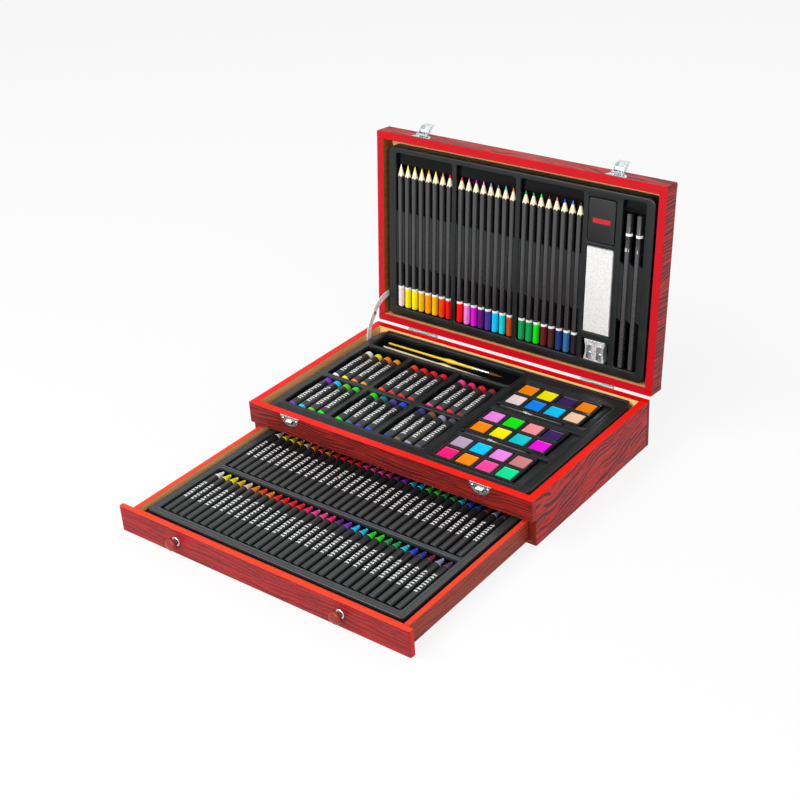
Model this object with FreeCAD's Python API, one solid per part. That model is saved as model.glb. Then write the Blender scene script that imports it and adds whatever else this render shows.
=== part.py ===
import FreeCAD, Part
import math
import os

from FreeCAD import Placement, Rotation, Vector

# Wooden art case in millimetres: a hinged lid with pencils, a tray of pastels and watercolours,
# and a drawer of crayons below it. The origin is the centre of the case's underside, +X is the
# right side, +Y the back and +Z up. The lid stands open and the drawer is pulled out.

# Outer boards of the case
case_width = 370.0
case_depth = 232.0
case_height = 55.0
board = 9.0
lap = 6.0
corner_radius = 2.0
rebate_width = 4.0
bottom_thickness = 3.0
shelf_thickness = 3.0
shelf_groove = 2.5
rail_height = 24.0

# Lid
lid_height = 21.0
lid_panel_thickness = 3.0
parting_gap = 0.5
open_angle = 95.0

# Drawer
drawer_out = 198.0
drawer_board = 6.0
drawer_side_gap = 0.5
drawer_foot_gap = 0.3
drawer_back_gap = 1.5
drawer_side_height = 22.7
overlay_thickness = 6.0
overlay_gap = 0.5
overlay_foot = 1.5
drawer_bottom_thickness = 2.5
drawer_bottom_lift = 1.7
drawer_groove = 3.0

# Fits
fit = 0.3
pin_fit = 0.05
pin_sides = 8
overrun = 1.0

# Formed plastic trays
sheet = 0.8
draft = 0.6
shell_corner_facets = 2
pocket_corner_facets = 1
pocket_radius = 2.4
tray_lift = 0.3
base_tray_recess = 3.0
base_tray_radius = 12.0
base_tray_left_gap = 8.0
base_tray_right_gap = 2.5
base_tray_end_gap = 1.2
base_tray_left_margin = 11.25
base_tray_front_margin = 17.8
drawer_tray_drop = 1.5
drawer_tray_gap = 0.3
drawer_tray_radius = 4.0
lid_tray_recess = 3.0
lid_tray_radius = 8.0
lid_tray_side_gap = 4.0
lid_tray_hinge_margin = 4.5
lid_tray_front_margin = 7.5

# Oil pastels, four in each pocket, three pockets in each of two rows
pastel_radius = 5.5
pastel_sides = 8
pastel_length = 66.0
pastel_pitch = 13.6
pastel_side_room = 2.85
pastel_end_room = 1.0
pastel_lift_room = 9.5
pastel_drop = 5.5
pastel_bar = 8.5
pastel_row_bar = 7.0
pastels_in_pocket = 4
pastel_pockets = 3
pastel_rows = 2

# Paint brushes in the long trough behind the pastels
brush_bar = 4.5
brush_trough_depth = 32.0
brush_trough_extra = 3.0
brush_trough_floor_drop = 9.0
brush_handle_radius = 3.2
brush_handle_end_radius = 1.3
brush_handle_length = 124.0
brush_ferrule_radius = 2.5
brush_ferrule_tip_radius = 2.0
brush_ferrule_length = 19.0
brush_bristle_length = 18.0
brush_bristle_tip_radius = 0.5
brush_lean = 1.6
brush_spacing = 10.0
brush_back_room = 12.0
brush_left_room = 9.0
brush_sides = 8
trough_brushes = 2
brush_belly_share = 0.75

# Watercolour palettes
palette_bar = 13.5
palette_width = 99.0
palette_depth = 52.0
palette_height = 5.0
palette_radius = 3.0
palette_pocket_radius = 2.2
palette_front_margin = 12.1
palette_gaps = (0.0, 8.7, 15.2)
palette_rim = 1.0
finger_recess = 12.0
cake_side = 19.5
cake_thickness = 3.0
cake_pitch_x = 24.3
cake_pitch_y = 24.5
cake_drop = 0.9
cakes_across = 4
cakes_deep = 2
well_room = 1.0
palette_brush_slot = 5.6
palette_brush_length = 78.0
palette_brush_radius = 2.1
palette_brush_bar = 1.5
palette_slot_depth = 3.6
palette_slot_end_room = 8.0
palette_slot_radius = 1.4

# Wax crayons in the drawer
crayon_radius = 4.0
crayon_length = 86.0
crayon_cone = 9.0
crayon_tip_radius = 1.4
crayon_pitch = 10.24
crayon_drop = 4.0
crayon_end_room = 2.15
crayon_side_room = 2.5
crayons_in_row = 30
crayon_sides = 6
crayon_rows = 2
crayon_row_bar = 5.0
crayon_front_margin = 14.4
ridge_height = 2.2

# Pencils in the lid
pencil_flats = 7.0
pencil_sides = 6
pencil_length = 174.5
pencil_pitch = 9.8
pencil_drop = 3.75
pencil_sharpened = 15.0
pencil_cap = 26.5
lead_radius = 1.25
lead_point_radius = 0.3
pencils_in_pocket = 8
pencil_pockets = 3
pencil_pocket_bar = 5.8
pencil_side_room = 1.1
pencil_pocket_depth = 11.0
pencil_pocket_length = 176.5
pencil_pocket_radius = 1.6
pencil_ledge_length = 12.0
pencil_ledge_depth = 4.2
pencil_foot_room = 1.0
pencil_pocket_margin = 7.0
first_pencil_pocket_margin = 11.7
flute_room = 0.35
flute_drop = 0.8
flute_sides = 6
flute_start_share = 0.312
flute_end_share = 0.686

# Sketching tools in the lid, to the right of the pencils
tool_column_gap = 6.0
tool_column_width = 33.5
tool_depth = 9.5
tool_room = 0.8
tool_radius = 1.5
tool_pocket_radius = 1.0
tool_proud = 0.5
eraser_length = 48.0
sanding_length = 97.0
sharpener_width = 25.0
sharpener_length = 24.0
sharpener_thickness = 10.0
tool_gap_small = 7.0
tool_gap_large = 4.3
sketch_pocket_gap = 7.0
sketch_pocket_width = 27.0
sketch_pitch = 12.0
sketch_pencils = 2
sketch_length = 173.0
sketch_core_radius = 1.1

# Sharpener details
sharpener_bore = 4.1
sharpener_bore_tip = 0.8
sharpener_bore_length = 20.0
sharpener_bore_sides = 12
sharpener_waist = 1.6
sharpener_mouth = 3.4
blade_length = 19.0
blade_width = 7.6
blade_thickness = 0.6
blade_screw_radius = 1.9
blade_screw_height = 0.8

# Hinges
hinge_length = 42.0
hinge_place_share = 0.32
hinge_leaf_height = 13.0
hinge_leaf = 0.8
knuckle_radius = 1.7
knuckles = 3
hinge_offset = 2.0
hinge_pin_radius = 0.85
hinge_screw_share = 0.33
hinge_screw_drop = 8.5

# Round-head wood screws
screw_head_radius = 1.7
screw_head_height = 0.7
screw_radius = 0.9
screw_length = 7.0
screw_sides = 6

# Draw latches: strike on the front rail, plate, lever and claw on the lid
latch_place_share = 0.336
strike_half_width = 13.0
strike_height = 12.0
latch_sheet = 0.8
hook_half_width = 4.0
hook_reach = 3.6
hook_top_drop = 4.5
hook_lip = 3.3
hook_window = 3.7
strike_screw_share = 0.7
strike_screw_drop = 3.6
latch_plate_half_width = 12.5
latch_plate_height = 10.0
latch_plate_set = 2.0
latch_pin_set = 7.0
latch_pin_lift = 3.0
latch_pin_radius = 0.75
ear_radius = 1.5
ear_inner = 4.6
lever_half_width = 6.5
lever_length = 14.0
lever_end_radius = 1.8
lever_depth = 4.4
lever_web_start = 0.5
lever_lip = 1.6
claw_pivot_set = 5.0
claw_pivot_lift = 2.6
claw_barrel_radius = 1.3
claw_pin_radius = 0.8
claw_lift = 1.4
claw_bar = 1.5
claw_window = 5.1
claw_leg_room = 0.4
lever_swing = 135.0
claw_swing = 147.0

# Folding lid stay inside the left wall
stay_lid_pivot_from_hinge = 34.0
stay_lid_pivot_depth = 9.2
stay_case_pivot_from_back = 32.3
stay_case_pivot_drop = 13.0
stay_upper_length = 36.1
stay_lower_length = 36.7
stay_half_width = 3.6
stay_sheet = 0.9
stay_wall_gap = 0.7
stay_upper_bow = 4.0
stay_lower_bow = 4.5
stay_pivot_radius = 1.2
stay_head_radius = 2.6
stay_head_height = 0.6
stay_elbow_slack = 0.6
stay_spare_hole_radius = 1.3
stay_screw_depth = 6.0

# Knobs
knob_place_share = 0.284
knob_radius = 7.0
knob_length = 9.0
knob_sides = 12
knob_shares = ((0, 0.53), (0.2, 0.6), (0.45, 0.97), (0.65, 1), (0.87, 0.84), (1, 0.45))
ferrule_radius = 5.5
ferrule_thickness = 1.4
knob_height = 17.0
knob_screw_radius = 1.6
knob_screw_head = 3.2
knob_screw_bite = 5.0

half_width = case_width / 2
front = -case_depth / 2
back = case_depth / 2
inner_x = half_width - board
inner_front = front + board
inner_back = back - board
rail_bottom = case_height - rail_height
shelf_top = rail_bottom + shelf_thickness
lid_origin = Vector(0, back, case_height + parting_gap)
hinge_axis = Vector(0, back + hinge_offset, case_height + parting_gap / 2)
x_axis = Vector(1, 0, 0)
y_axis = Vector(0, 1, 0)
z_axis = Vector(0, 0, 1)
half_turn = 180.0
quarter_turn = 90.0
bulge_share = 1 - math.sqrt(0.5)

# The lid is drawn lying on its back: X as on the case, Y from the hinge edge to the front edge,
# and Z down from the rim at zero to minus lid_height. This placement closes it and opens it again.
lid_closed = Placement(lid_origin, Rotation(x_axis, half_turn))
lid_opening = Placement(Vector(), Rotation(x_axis, -open_angle), hinge_axis)
lid_pose = lid_opening * lid_closed

# The drawer is drawn shut and then pulled out.
drawer_pose = Placement(Vector(0, -drawer_out, 0), Rotation())


def block(xs, ys, zs):
    corner = Vector(xs[0], ys[0], zs[0])
    return Part.makeBox(xs[1] - xs[0], ys[1] - ys[0], zs[1] - zs[0], corner)


def grown(span, amount):
    return (span[0] - amount, span[1] + amount)


def about(centre, width):
    return (centre - width / 2, centre + width / 2)


def rounded_wire(xs, ys, z, radius):
    x0, x1 = xs
    y0, y1 = ys
    bulge = radius * bulge_share
    sides = [
        (Vector(x0 + radius, y0, z), Vector(x1 - radius, y0, z)),
        (Vector(x1, y0 + radius, z), Vector(x1, y1 - radius, z)),
        (Vector(x1 - radius, y1, z), Vector(x0 + radius, y1, z)),
        (Vector(x0, y1 - radius, z), Vector(x0, y0 + radius, z)),
    ]
    corners = [
        Vector(x1 - bulge, y0 + bulge, z),
        Vector(x1 - bulge, y1 - bulge, z),
        Vector(x0 + bulge, y1 - bulge, z),
        Vector(x0 + bulge, y0 + bulge, z),
    ]
    edges = []
    for index, (start, end) in enumerate(sides):
        following = sides[(index + 1) % len(sides)][0]
        edges.append(Part.LineSegment(start, end).toShape())
        edges.append(Part.Arc(end, corners[index], following).toShape())
    return Part.Wire(edges)


def rounded_block(xs, ys, zs, radius):
    face = Part.Face(rounded_wire(xs, ys, zs[0], radius))
    return face.extrude(Vector(0, 0, zs[1] - zs[0]))


def polygon_face(points):
    return Part.Face(Part.makePolygon(points + [points[0]]))


# A closed solid through rings of points, each ring with as many points as the next.
def ringed_solid(rings):
    faces = [polygon_face(rings[0]), polygon_face(rings[-1])]
    for lower, upper in zip(rings, rings[1:]):
        for index in range(len(lower)):
            following = (index + 1) % len(lower)
            faces.append(polygon_face(
                [lower[index], lower[following], upper[following], upper[index]]
            ))
    shell = Part.makeShell(faces)
    shell.sewShape()
    solid = Part.makeSolid(shell)
    if solid.Volume < 0:
        solid.reverse()
    return solid


def cornered_ring(xs, ys, z, radius, facets):
    centres = (
        (xs[1] - radius, ys[0] + radius, -1),
        (xs[1] - radius, ys[1] - radius, 0),
        (xs[0] + radius, ys[1] - radius, 1),
        (xs[0] + radius, ys[0] + radius, 2),
    )
    ring = []
    for x, y, quarter in centres:
        for step in range(facets + 1):
            angle = math.radians(quarter_turn * (quarter + step / facets))
            ring.append(Vector(x + radius * math.cos(angle), y + radius * math.sin(angle), z))
    return ring


def cornered_block(xs, ys, zs, radius):
    return ringed_solid([cornered_ring(xs, ys, z, radius, shell_corner_facets) for z in zs])


# A block whose walls lean in towards its floor, as a mould needs.
def drafted_block(xs, ys, zs, radius):
    facets = pocket_corner_facets
    floor = cornered_ring(grown(xs, -draft), grown(ys, -draft), zs[0], radius, facets)
    return ringed_solid([floor, cornered_ring(xs, ys, zs[1], radius, facets)])


def rod(start, direction, radius, length):
    return Part.makeCylinder(radius, length, start, direction)


# A small turned piece with flats for its round. The profile gives pairs of distance along the
# axis and radius, from one end to the other. The first corner is turned by a share of one flat.
def faceted(start, direction, profile, sides, turn_share=1 / 2):
    rings = []
    for along, radius in profile:
        ring = []
        for index in range(sides):
            angle = math.radians(2 * half_turn * (index + turn_share) / sides)
            ring.append(Vector(radius * math.cos(angle), radius * math.sin(angle), along))
        rings.append(ring)
    solid = ringed_solid(rings)
    solid.Placement = Placement(start, Rotation(z_axis, direction))
    return solid


# A pin whose flats lie inside its radius, so that it turns freely in a round bore.
def pin(start, direction, radius, length):
    return faceted(start, direction, [(0, radius), (length, radius)], pin_sides)


# A hole whose flats lie outside its radius.
def bore(start, direction, radius, length):
    corner = radius / math.cos(math.radians(half_turn / pin_sides))
    return faceted(start, direction, [(0, corner), (length, corner)], pin_sides)


# A flat shape drawn in (Y, Z) and given a thickness along X.
def side_prism(points, xs):
    outline = [Vector(xs[0], y, z) for y, z in points]
    return polygon_face(outline).extrude(Vector(xs[1] - xs[0], 0, 0))


# A pocket of a formed tray is (x span, y span, floor height, corner radius).
def formed_tray(xs, ys, zs, radius, pockets):
    shell = cornered_block(xs, ys, zs, radius)
    hollow = cornered_block(
        grown(xs, -sheet), grown(ys, -sheet), (zs[0], zs[1] - sheet), radius - sheet
    )
    cups = []
    wells = []
    for pocket_x, pocket_y, floor, pocket_corner in pockets:
        cups.append(drafted_block(
            grown(pocket_x, sheet), grown(pocket_y, sheet), (floor - sheet, zs[1]),
            pocket_corner + sheet,
        ))
        wells.append(drafted_block(pocket_x, pocket_y, (floor, zs[1]), pocket_corner))
    return shell.cut(hollow).fuse(cups).cut(wells)


def row_places(centre, pitch, count):
    first = centre - pitch * (count - 1) / 2
    return [first + pitch * index for index in range(count)]


# Low ridges across a pocket's floor, one between each pair of sticks.
def floor_ridges(places, pitch, ys, floor):
    ridges = []
    half = ridge_height / 2
    for place in places[:-1]:
        centre = place + pitch / 2
        outline = [
            Vector(centre - half, ys[0] + draft, floor),
            Vector(centre + half, ys[0] + draft, floor),
            Vector(centre, ys[0] + draft, floor + ridge_height),
        ]
        ridges.append(polygon_face(outline).extrude(Vector(0, ys[1] - ys[0] - 2 * draft, 0)))
    return ridges


# Screws: each place is (point on the outer face of the fixed sheet, direction into the wood).
def screw(place):
    point, inward = place
    profile = [
        (-screw_head_height, screw_head_radius / 2),
        (0, screw_head_radius),
        (0, screw_radius),
        (screw_length, screw_radius),
    ]
    return faceted(point, inward, profile, screw_sides)


def screw_hole(place):
    point, inward = place
    radius = screw_radius + pin_fit
    profile = [(0, radius), (screw_length + 2 * overrun, radius)]
    return faceted(point - inward * overrun, inward, profile, screw_sides)


# Half-round plate standing in an XZ plane, its straight edge at the top and its bulge below.
def half_round_plate(centre_x, y, top, half_chord, drop, thickness):
    left = Vector(centre_x - half_chord, y, top)
    right = Vector(centre_x + half_chord, y, top)
    lowest = Vector(centre_x, y, top - drop)
    edges = [Part.LineSegment(left, right).toShape(), Part.Arc(right, lowest, left).toShape()]
    return Part.Face(Part.Wire(edges)).extrude(Vector(0, thickness, 0))


latch_places = [side * case_width * latch_place_share for side in (-1, 1)]
hinge_places = [side * case_width * hinge_place_share for side in (-1, 1)]
knob_places = [side * case_width * knob_place_share for side in (-1, 1)]


# Strikes on the front rail

strike_screw_places = []
for place in latch_places:
    for side in (-1, 1):
        point = Vector(
            place + side * strike_half_width * strike_screw_share,
            front - latch_sheet,
            case_height - strike_screw_drop,
        )
        strike_screw_places.append((point, y_axis))


def strike(centre):
    face_y = front - latch_sheet
    plate = half_round_plate(
        centre, face_y, case_height, strike_half_width, strike_height, latch_sheet
    )
    hook_top = case_height - hook_top_drop
    under = hook_top - latch_sheet
    outer = front - hook_reach
    outline = [
        (face_y, hook_top),
        (outer + latch_sheet / 2, hook_top),
        (outer, hook_top - latch_sheet / 2),
        (outer, hook_top - hook_lip),
        (outer + latch_sheet, hook_top - hook_lip),
        (outer + latch_sheet, under),
        (face_y, under),
    ]
    hook = side_prism(outline, (centre - hook_half_width, centre + hook_half_width))
    window = block(
        (centre - hook_half_width, centre + hook_half_width),
        (face_y - overrun, front + overrun),
        (under - hook_window, under),
    )
    holes = [screw_hole(spot) for spot in strike_screw_places]
    return plate.cut([window] + holes).fuse(hook)


# Hinges

hinge_screw_offsets = [hinge_length * hinge_screw_share * side for side in (-1, 1)]
hinge_case_screw_places = []
hinge_lid_screw_places = []
for place in hinge_places:
    for offset in hinge_screw_offsets:
        case_point = Vector(
            place + offset, back + hinge_leaf, hinge_axis.z - hinge_screw_drop
        )
        lid_point = Vector(place + offset, -hinge_leaf, parting_gap / 2 - hinge_screw_drop)
        hinge_case_screw_places.append((case_point, -y_axis))
        hinge_lid_screw_places.append((lid_point, y_axis))


# One leaf, drawn with its board's face at y = 0 and its metal towards -Y or +Y (outward).
# Every second knuckle belongs to this leaf, starting with first_knuckle.
def hinge_leaf_solid(centre, face_y, outward, axis_z, first_knuckle, screws):
    ys = sorted((face_y, face_y + outward * hinge_leaf))
    axis_y = face_y + outward * hinge_offset
    plate_top = axis_z - knuckle_radius - fit
    plate = block(about(centre, hinge_length), ys, (axis_z - hinge_leaf_height, plate_top))
    length = hinge_length / knuckles
    own = []
    for index in range(first_knuckle, knuckles, 2):
        low = centre - hinge_length / 2 + index * length + fit / 2
        span = (low, low + length - fit)
        own.append(block(span, ys, (plate_top, axis_z)))
        own.append(pin(Vector(span[0], axis_y, axis_z), x_axis, knuckle_radius, span[1] - span[0]))
    bore_start = Vector(centre - hinge_length / 2 - overrun, axis_y, axis_z)
    pin_hole = bore(bore_start, x_axis, hinge_pin_radius + pin_fit, hinge_length + 2 * overrun)
    holes = [screw_hole(spot) for spot in screws]
    return plate.fuse(own).cut([pin_hole] + holes)


def hinge_pin(centre):
    start = Vector(centre - hinge_length / 2, hinge_axis.y, hinge_axis.z)
    return pin(start, x_axis, hinge_pin_radius, hinge_length)


# Draw latches, drawn shut in the lid's frame: Y grows outward from the lid's front board and
# Z falls from the rim into the lid, so the shut lever points to +Z, past the rim.

latch_face = case_depth
latch_pivot_y = latch_face + latch_pin_lift
latch_pivot_z = -latch_pin_set
claw_pivot_y = latch_face + claw_pivot_lift
claw_pivot_z = latch_pivot_z + claw_pivot_set
latch_screw_places = []
for place in latch_places:
    for side in (-1, 1):
        point = Vector(
            place + side * latch_plate_half_width * strike_screw_share,
            latch_face + latch_sheet,
            -latch_plate_set - strike_screw_drop,
        )
        latch_screw_places.append((point, -y_axis))


def latch_plate(centre):
    plate = half_round_plate(
        centre, latch_face, -latch_plate_set,
        latch_plate_half_width, latch_plate_height, latch_sheet,
    )
    ears = []
    for side in (-1, 1):
        inner = centre + side * ear_inner
        xs = sorted((inner, inner + side * latch_sheet))
        foot = block(
            xs,
            (latch_face + latch_sheet, latch_pivot_y),
            (latch_pivot_z - ear_radius, latch_pivot_z + ear_radius),
        )
        head = pin(
            Vector(xs[0], latch_pivot_y, latch_pivot_z), x_axis, ear_radius, xs[1] - xs[0]
        )
        ears += [foot, head]
    pin_hole = bore(
        Vector(centre - lever_half_width, latch_pivot_y, latch_pivot_z),
        x_axis, latch_pin_radius + pin_fit, 2 * lever_half_width,
    )
    holes = [screw_hole(spot) for spot in latch_screw_places]
    return plate.fuse(ears).cut([pin_hole] + holes)


def latch_pin(centre):
    half = lever_half_width + fit
    start = Vector(centre - half, latch_pivot_y, latch_pivot_z)
    return pin(start, x_axis, latch_pin_radius, 2 * half)


def shut_lever(centre):
    flange_low = latch_pivot_y - lever_end_radius
    web_outer = flange_low + lever_depth
    free_end = latch_pivot_z + lever_length
    outline = [
        (flange_low, latch_pivot_z),
        (flange_low, free_end - lever_depth),
        (web_outer - latch_sheet, free_end),
        (web_outer, free_end),
        (web_outer, latch_pivot_z + lever_web_start),
        (latch_pivot_y, latch_pivot_z - lever_end_radius / 2),
        (latch_pivot_y, latch_pivot_z),
    ]
    flanges = []
    for side in (-1, 1):
        outer = centre + side * lever_half_width
        xs = sorted((outer - side * latch_sheet, outer))
        flanges.append(side_prism(outline, xs))
        pivot = Vector(xs[0], latch_pivot_y, latch_pivot_z)
        flanges.append(pin(pivot, x_axis, lever_end_radius, xs[1] - xs[0]))
    web = block(
        (centre - lever_half_width, centre + lever_half_width),
        (web_outer - latch_sheet, web_outer),
        (latch_pivot_z + lever_web_start, free_end),
    )
    lip = side_prism(
        [
            (web_outer - latch_sheet, free_end),
            (web_outer, free_end),
            (web_outer + lever_lip / 2, free_end + lever_lip),
            (web_outer + lever_lip / 2 - latch_sheet, free_end + lever_lip),
        ],
        (centre - lever_half_width, centre + lever_half_width),
    )
    bores = []
    for y, z, radius in (
        (latch_pivot_y, latch_pivot_z, latch_pin_radius),
        (claw_pivot_y, claw_pivot_z, claw_pin_radius),
    ):
        start = Vector(centre - lever_half_width - overrun, y, z)
        bores.append(bore(start, x_axis, radius + pin_fit, 2 * (lever_half_width + overrun)))
    return web.fuse(flanges + [lip]).cut(bores)


def shut_claw(centre):
    half = lever_half_width - latch_sheet - fit
    shut_offset = lid_closed.inverse().multVec(
        Vector(0, front, case_height - hook_top_drop - latch_sheet)
    )
    bar_top = shut_offset.z + fit
    strap_low = latch_face + claw_lift
    strap = block(
        (centre - half, centre + half),
        (strap_low, strap_low + latch_sheet),
        (claw_pivot_z, bar_top + claw_bar),
    )
    window = block(
        grown((centre - hook_half_width, centre + hook_half_width), claw_leg_room),
        (strap_low - overrun, strap_low + latch_sheet + overrun),
        (bar_top - claw_window, bar_top),
    )
    pivot = Vector(centre - half, claw_pivot_y, claw_pivot_z)
    barrel = pin(pivot, x_axis, claw_barrel_radius, 2 * half)
    trunnion_half = lever_half_width + fit
    trunnion_start = Vector(centre - trunnion_half, claw_pivot_y, claw_pivot_z)
    trunnion = pin(trunnion_start, x_axis, claw_pin_radius, 2 * trunnion_half)
    return strap.cut(window).fuse([barrel, trunnion])


lever_pivot = Vector(0, latch_pivot_y, latch_pivot_z)
claw_pivot = Vector(0, claw_pivot_y, claw_pivot_z)
lever_lift = Placement(Vector(), Rotation(x_axis, -lever_swing), lever_pivot)
claw_hang = Placement(Vector(), Rotation(x_axis, claw_swing), claw_pivot)


# Folding stay: a curved strip between two pivots, with round ends, in a YZ plane.

def curved_strip(xs, start, end, bow, half):
    middle = (start + end) * 0.5
    along = end - start
    side = Vector(0, -along.z, along.y)
    side.normalize()
    crown = middle + side * bow
    chord = along.Length / 2
    radius = (chord ** 2 + bow ** 2) / (2 * bow)
    centre = crown - side * radius

    def shifted(point, amount):
        outward = point - centre
        outward.normalize()
        return point + outward * amount

    start_cap = start - along * (half / along.Length)
    end_cap = end + along * (half / along.Length)
    edges = [
        Part.Arc(shifted(start, half), shifted(crown, half), shifted(end, half)).toShape(),
        Part.Arc(shifted(end, half), end_cap, shifted(end, -half)).toShape(),
        Part.Arc(shifted(end, -half), shifted(crown, -half), shifted(start, -half)).toShape(),
        Part.Arc(shifted(start, -half), start_cap, shifted(start, half)).toShape(),
    ]
    strip = Part.Face(Part.Wire(edges)).extrude(Vector(xs[1] - xs[0], 0, 0))
    strip.translate(Vector(xs[0], 0, 0))
    hole_start = crown + Vector(xs[0] - overrun, 0, 0)
    spare = pin(hole_start, x_axis, stay_spare_hole_radius, xs[1] - xs[0] + 2 * overrun)
    return strip.cut(spare)


wall_x = -inner_x
upper_x = (wall_x + stay_wall_gap, wall_x + stay_wall_gap + stay_sheet)
lower_x = (upper_x[1] + fit, upper_x[1] + fit + stay_sheet)
stay_lid_pivot_local = Vector(0, stay_lid_pivot_from_hinge, -stay_lid_pivot_depth)
stay_lid_pivot = lid_pose.multVec(stay_lid_pivot_local)
stay_case_pivot = Vector(0, back - stay_case_pivot_from_back, case_height - stay_case_pivot_drop)


# The elbow lies where the two strips' lengths meet, on the side towards the front.
def stay_elbow_point():
    between = stay_lid_pivot - stay_case_pivot
    distance = between.Length
    along = (distance ** 2 + stay_lower_length ** 2 - stay_upper_length ** 2) / (2 * distance)
    aside = math.sqrt(stay_lower_length ** 2 - along ** 2)
    direction = between * (1 / distance)
    sideways = Vector(0, -direction.z, direction.y)
    return stay_case_pivot + direction * along + sideways * aside


stay_elbow = stay_elbow_point()


# A pivot screw: head, bearing through the strip, collar to the wall and shank in the wood.
def stay_screw(pivot, strip_x):
    start = Vector(strip_x[1] + fit + stay_head_height, pivot.y, pivot.z)
    head_end = stay_head_height
    bearing_end = head_end + fit + stay_sheet + fit
    collar_end = start.x - wall_x
    profile = [
        (0, stay_head_radius / 2),
        (head_end / 2, stay_head_radius),
        (head_end, stay_head_radius),
        (head_end, stay_pivot_radius),
        (bearing_end, stay_pivot_radius),
        (bearing_end, stay_head_radius),
        (collar_end, stay_head_radius),
        (collar_end, stay_pivot_radius),
        (collar_end + stay_screw_depth, stay_pivot_radius),
    ]
    return faceted(start, -x_axis, profile, pin_sides)


def stay_screw_hole(pivot):
    start = Vector(wall_x + overrun, pivot.y, pivot.z)
    return bore(start, -x_axis, stay_pivot_radius + pin_fit, stay_screw_depth + overrun + fit)


def stay_bearing(pivot, xs, slack):
    start = Vector(xs[0] - overrun, pivot.y, pivot.z)
    return bore(start, x_axis, stay_pivot_radius + slack, xs[1] - xs[0] + 2 * overrun)


def stay_upper_link():
    strip = curved_strip(upper_x, stay_elbow, stay_lid_pivot, stay_upper_bow, stay_half_width)
    return strip.cut([
        stay_bearing(stay_lid_pivot, upper_x, pin_fit),
        stay_bearing(stay_elbow, upper_x, stay_elbow_slack),
    ])


def stay_lower_link():
    strip = curved_strip(lower_x, stay_case_pivot, stay_elbow, stay_lower_bow, stay_half_width)
    return strip.cut([
        stay_bearing(stay_case_pivot, lower_x, pin_fit),
        stay_bearing(stay_elbow, lower_x, 0),
    ])


def stay_rivet():
    start = Vector(wall_x + fit, stay_elbow.y, stay_elbow.z)
    inner_end = lower_x[1] - start.x
    profile = [
        (0, stay_pivot_radius),
        (inner_end, stay_pivot_radius),
        (inner_end, stay_head_radius),
        (inner_end + stay_head_height / 2, stay_head_radius),
        (inner_end + stay_head_height, stay_head_radius / 2),
    ]
    return faceted(start, x_axis, profile, pin_sides)


# Boards. A front or back board laps over the sides' ends and tongues in between the sides.

def end_board(y_out, inward, zs):
    laps = block((-half_width, half_width), sorted((y_out, y_out + inward * lap)), zs)
    tongue = block((-inner_x, inner_x), sorted((y_out + inward * lap, y_out + inward * board)), zs)
    return laps.fuse(tongue)


def side_board(side, ys, zs):
    xs = sorted((side * inner_x, side * half_width))
    return block(xs, ys, zs)


def footprint(ys, zs):
    return rounded_block((-half_width, half_width), ys, zs, corner_radius)


case_outline = footprint((front, back), (0, case_height))
bottom_span_x = (-inner_x - rebate_width, inner_x + rebate_width)
bottom_span_y = (front + lap, inner_back + rebate_width)
bottom_board = block(bottom_span_x, bottom_span_y, (0, bottom_thickness))
shelf_span_x = (-inner_x - shelf_groove, inner_x + shelf_groove)
tray_shelf = block(shelf_span_x, (inner_front, inner_back), (rail_bottom, shelf_top))

front_rail = end_board(front, 1, (rail_bottom, case_height)).common(case_outline)
front_rail = front_rail.cut([screw_hole(spot) for spot in strike_screw_places])
back_panel = end_board(back, -1, (0, case_height)).common(case_outline)
back_panel = back_panel.cut([bottom_board] + [screw_hole(spot) for spot in hinge_case_screw_places])
side_span = (front + lap, back - lap)
stay_hole = stay_screw_hole(stay_case_pivot)
left_side = side_board(-1, side_span, (0, case_height)).cut([bottom_board, tray_shelf, stay_hole])
right_side = side_board(1, side_span, (0, case_height)).cut([bottom_board, tray_shelf])


# Tray of pastels, brushes and palettes in the case

tray_top = case_height - base_tray_recess
tray_x = (-inner_x + base_tray_left_gap, inner_x - base_tray_right_gap)
tray_y = (inner_front + base_tray_end_gap, inner_back - base_tray_end_gap)
pastel_z = tray_top - pastel_drop
pastel_floor = pastel_z - pastel_radius - fit
pastel_pocket_width = (
    pastel_pitch * (pastels_in_pocket - 1) + 2 * (pastel_radius + pastel_side_room)
)
pastel_pocket_length = pastel_length + 2 * pastel_end_room
pastel_spans_x = []
for index in range(pastel_pockets):
    low = tray_x[0] + base_tray_left_margin + index * (pastel_pocket_width + pastel_bar)
    pastel_spans_x.append((low, low + pastel_pocket_width))
pastel_spans_y = []
for index in range(pastel_rows):
    low = tray_y[0] + base_tray_front_margin + index * (pastel_pocket_length + pastel_row_bar)
    lift_room = pastel_lift_room if index == pastel_rows - 1 else 0
    pastel_spans_y.append((low, low + pastel_pocket_length + lift_room))

trough_y = pastel_spans_y[-1][1] + brush_bar
trough = (
    (pastel_spans_x[0][0], pastel_spans_x[-1][1] + brush_trough_extra),
    (trough_y, trough_y + brush_trough_depth),
    tray_top - brush_trough_floor_drop,
    pocket_radius,
)

palette_x = (pastel_spans_x[-1][1] + palette_bar, pastel_spans_x[-1][1] + palette_bar + palette_width)
palette_floor = tray_top - palette_height - fit
palette_spans_y = []
low = tray_y[0] + palette_front_margin
for gap in palette_gaps:
    low = low + gap
    palette_spans_y.append((low, low + palette_depth))
    low = low + palette_depth

palette_pockets = [
    (
        (palette_x[0] - fit - draft, palette_x[1] + finger_recess),
        grown(span, fit + draft),
        palette_floor,
        palette_pocket_radius,
    )
    for span in palette_spans_y
]
slot_floor = tray_top - palette_slot_depth
brush_slots = []
for span in palette_spans_y[1:]:
    slot_back = span[0] - palette_brush_bar - draft
    slot_x = (palette_x[0], palette_x[0] + palette_brush_length + palette_slot_end_room)
    slot_y = (slot_back - palette_brush_slot, slot_back)
    brush_slots.append((slot_x, slot_y, slot_floor, palette_slot_radius))

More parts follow.
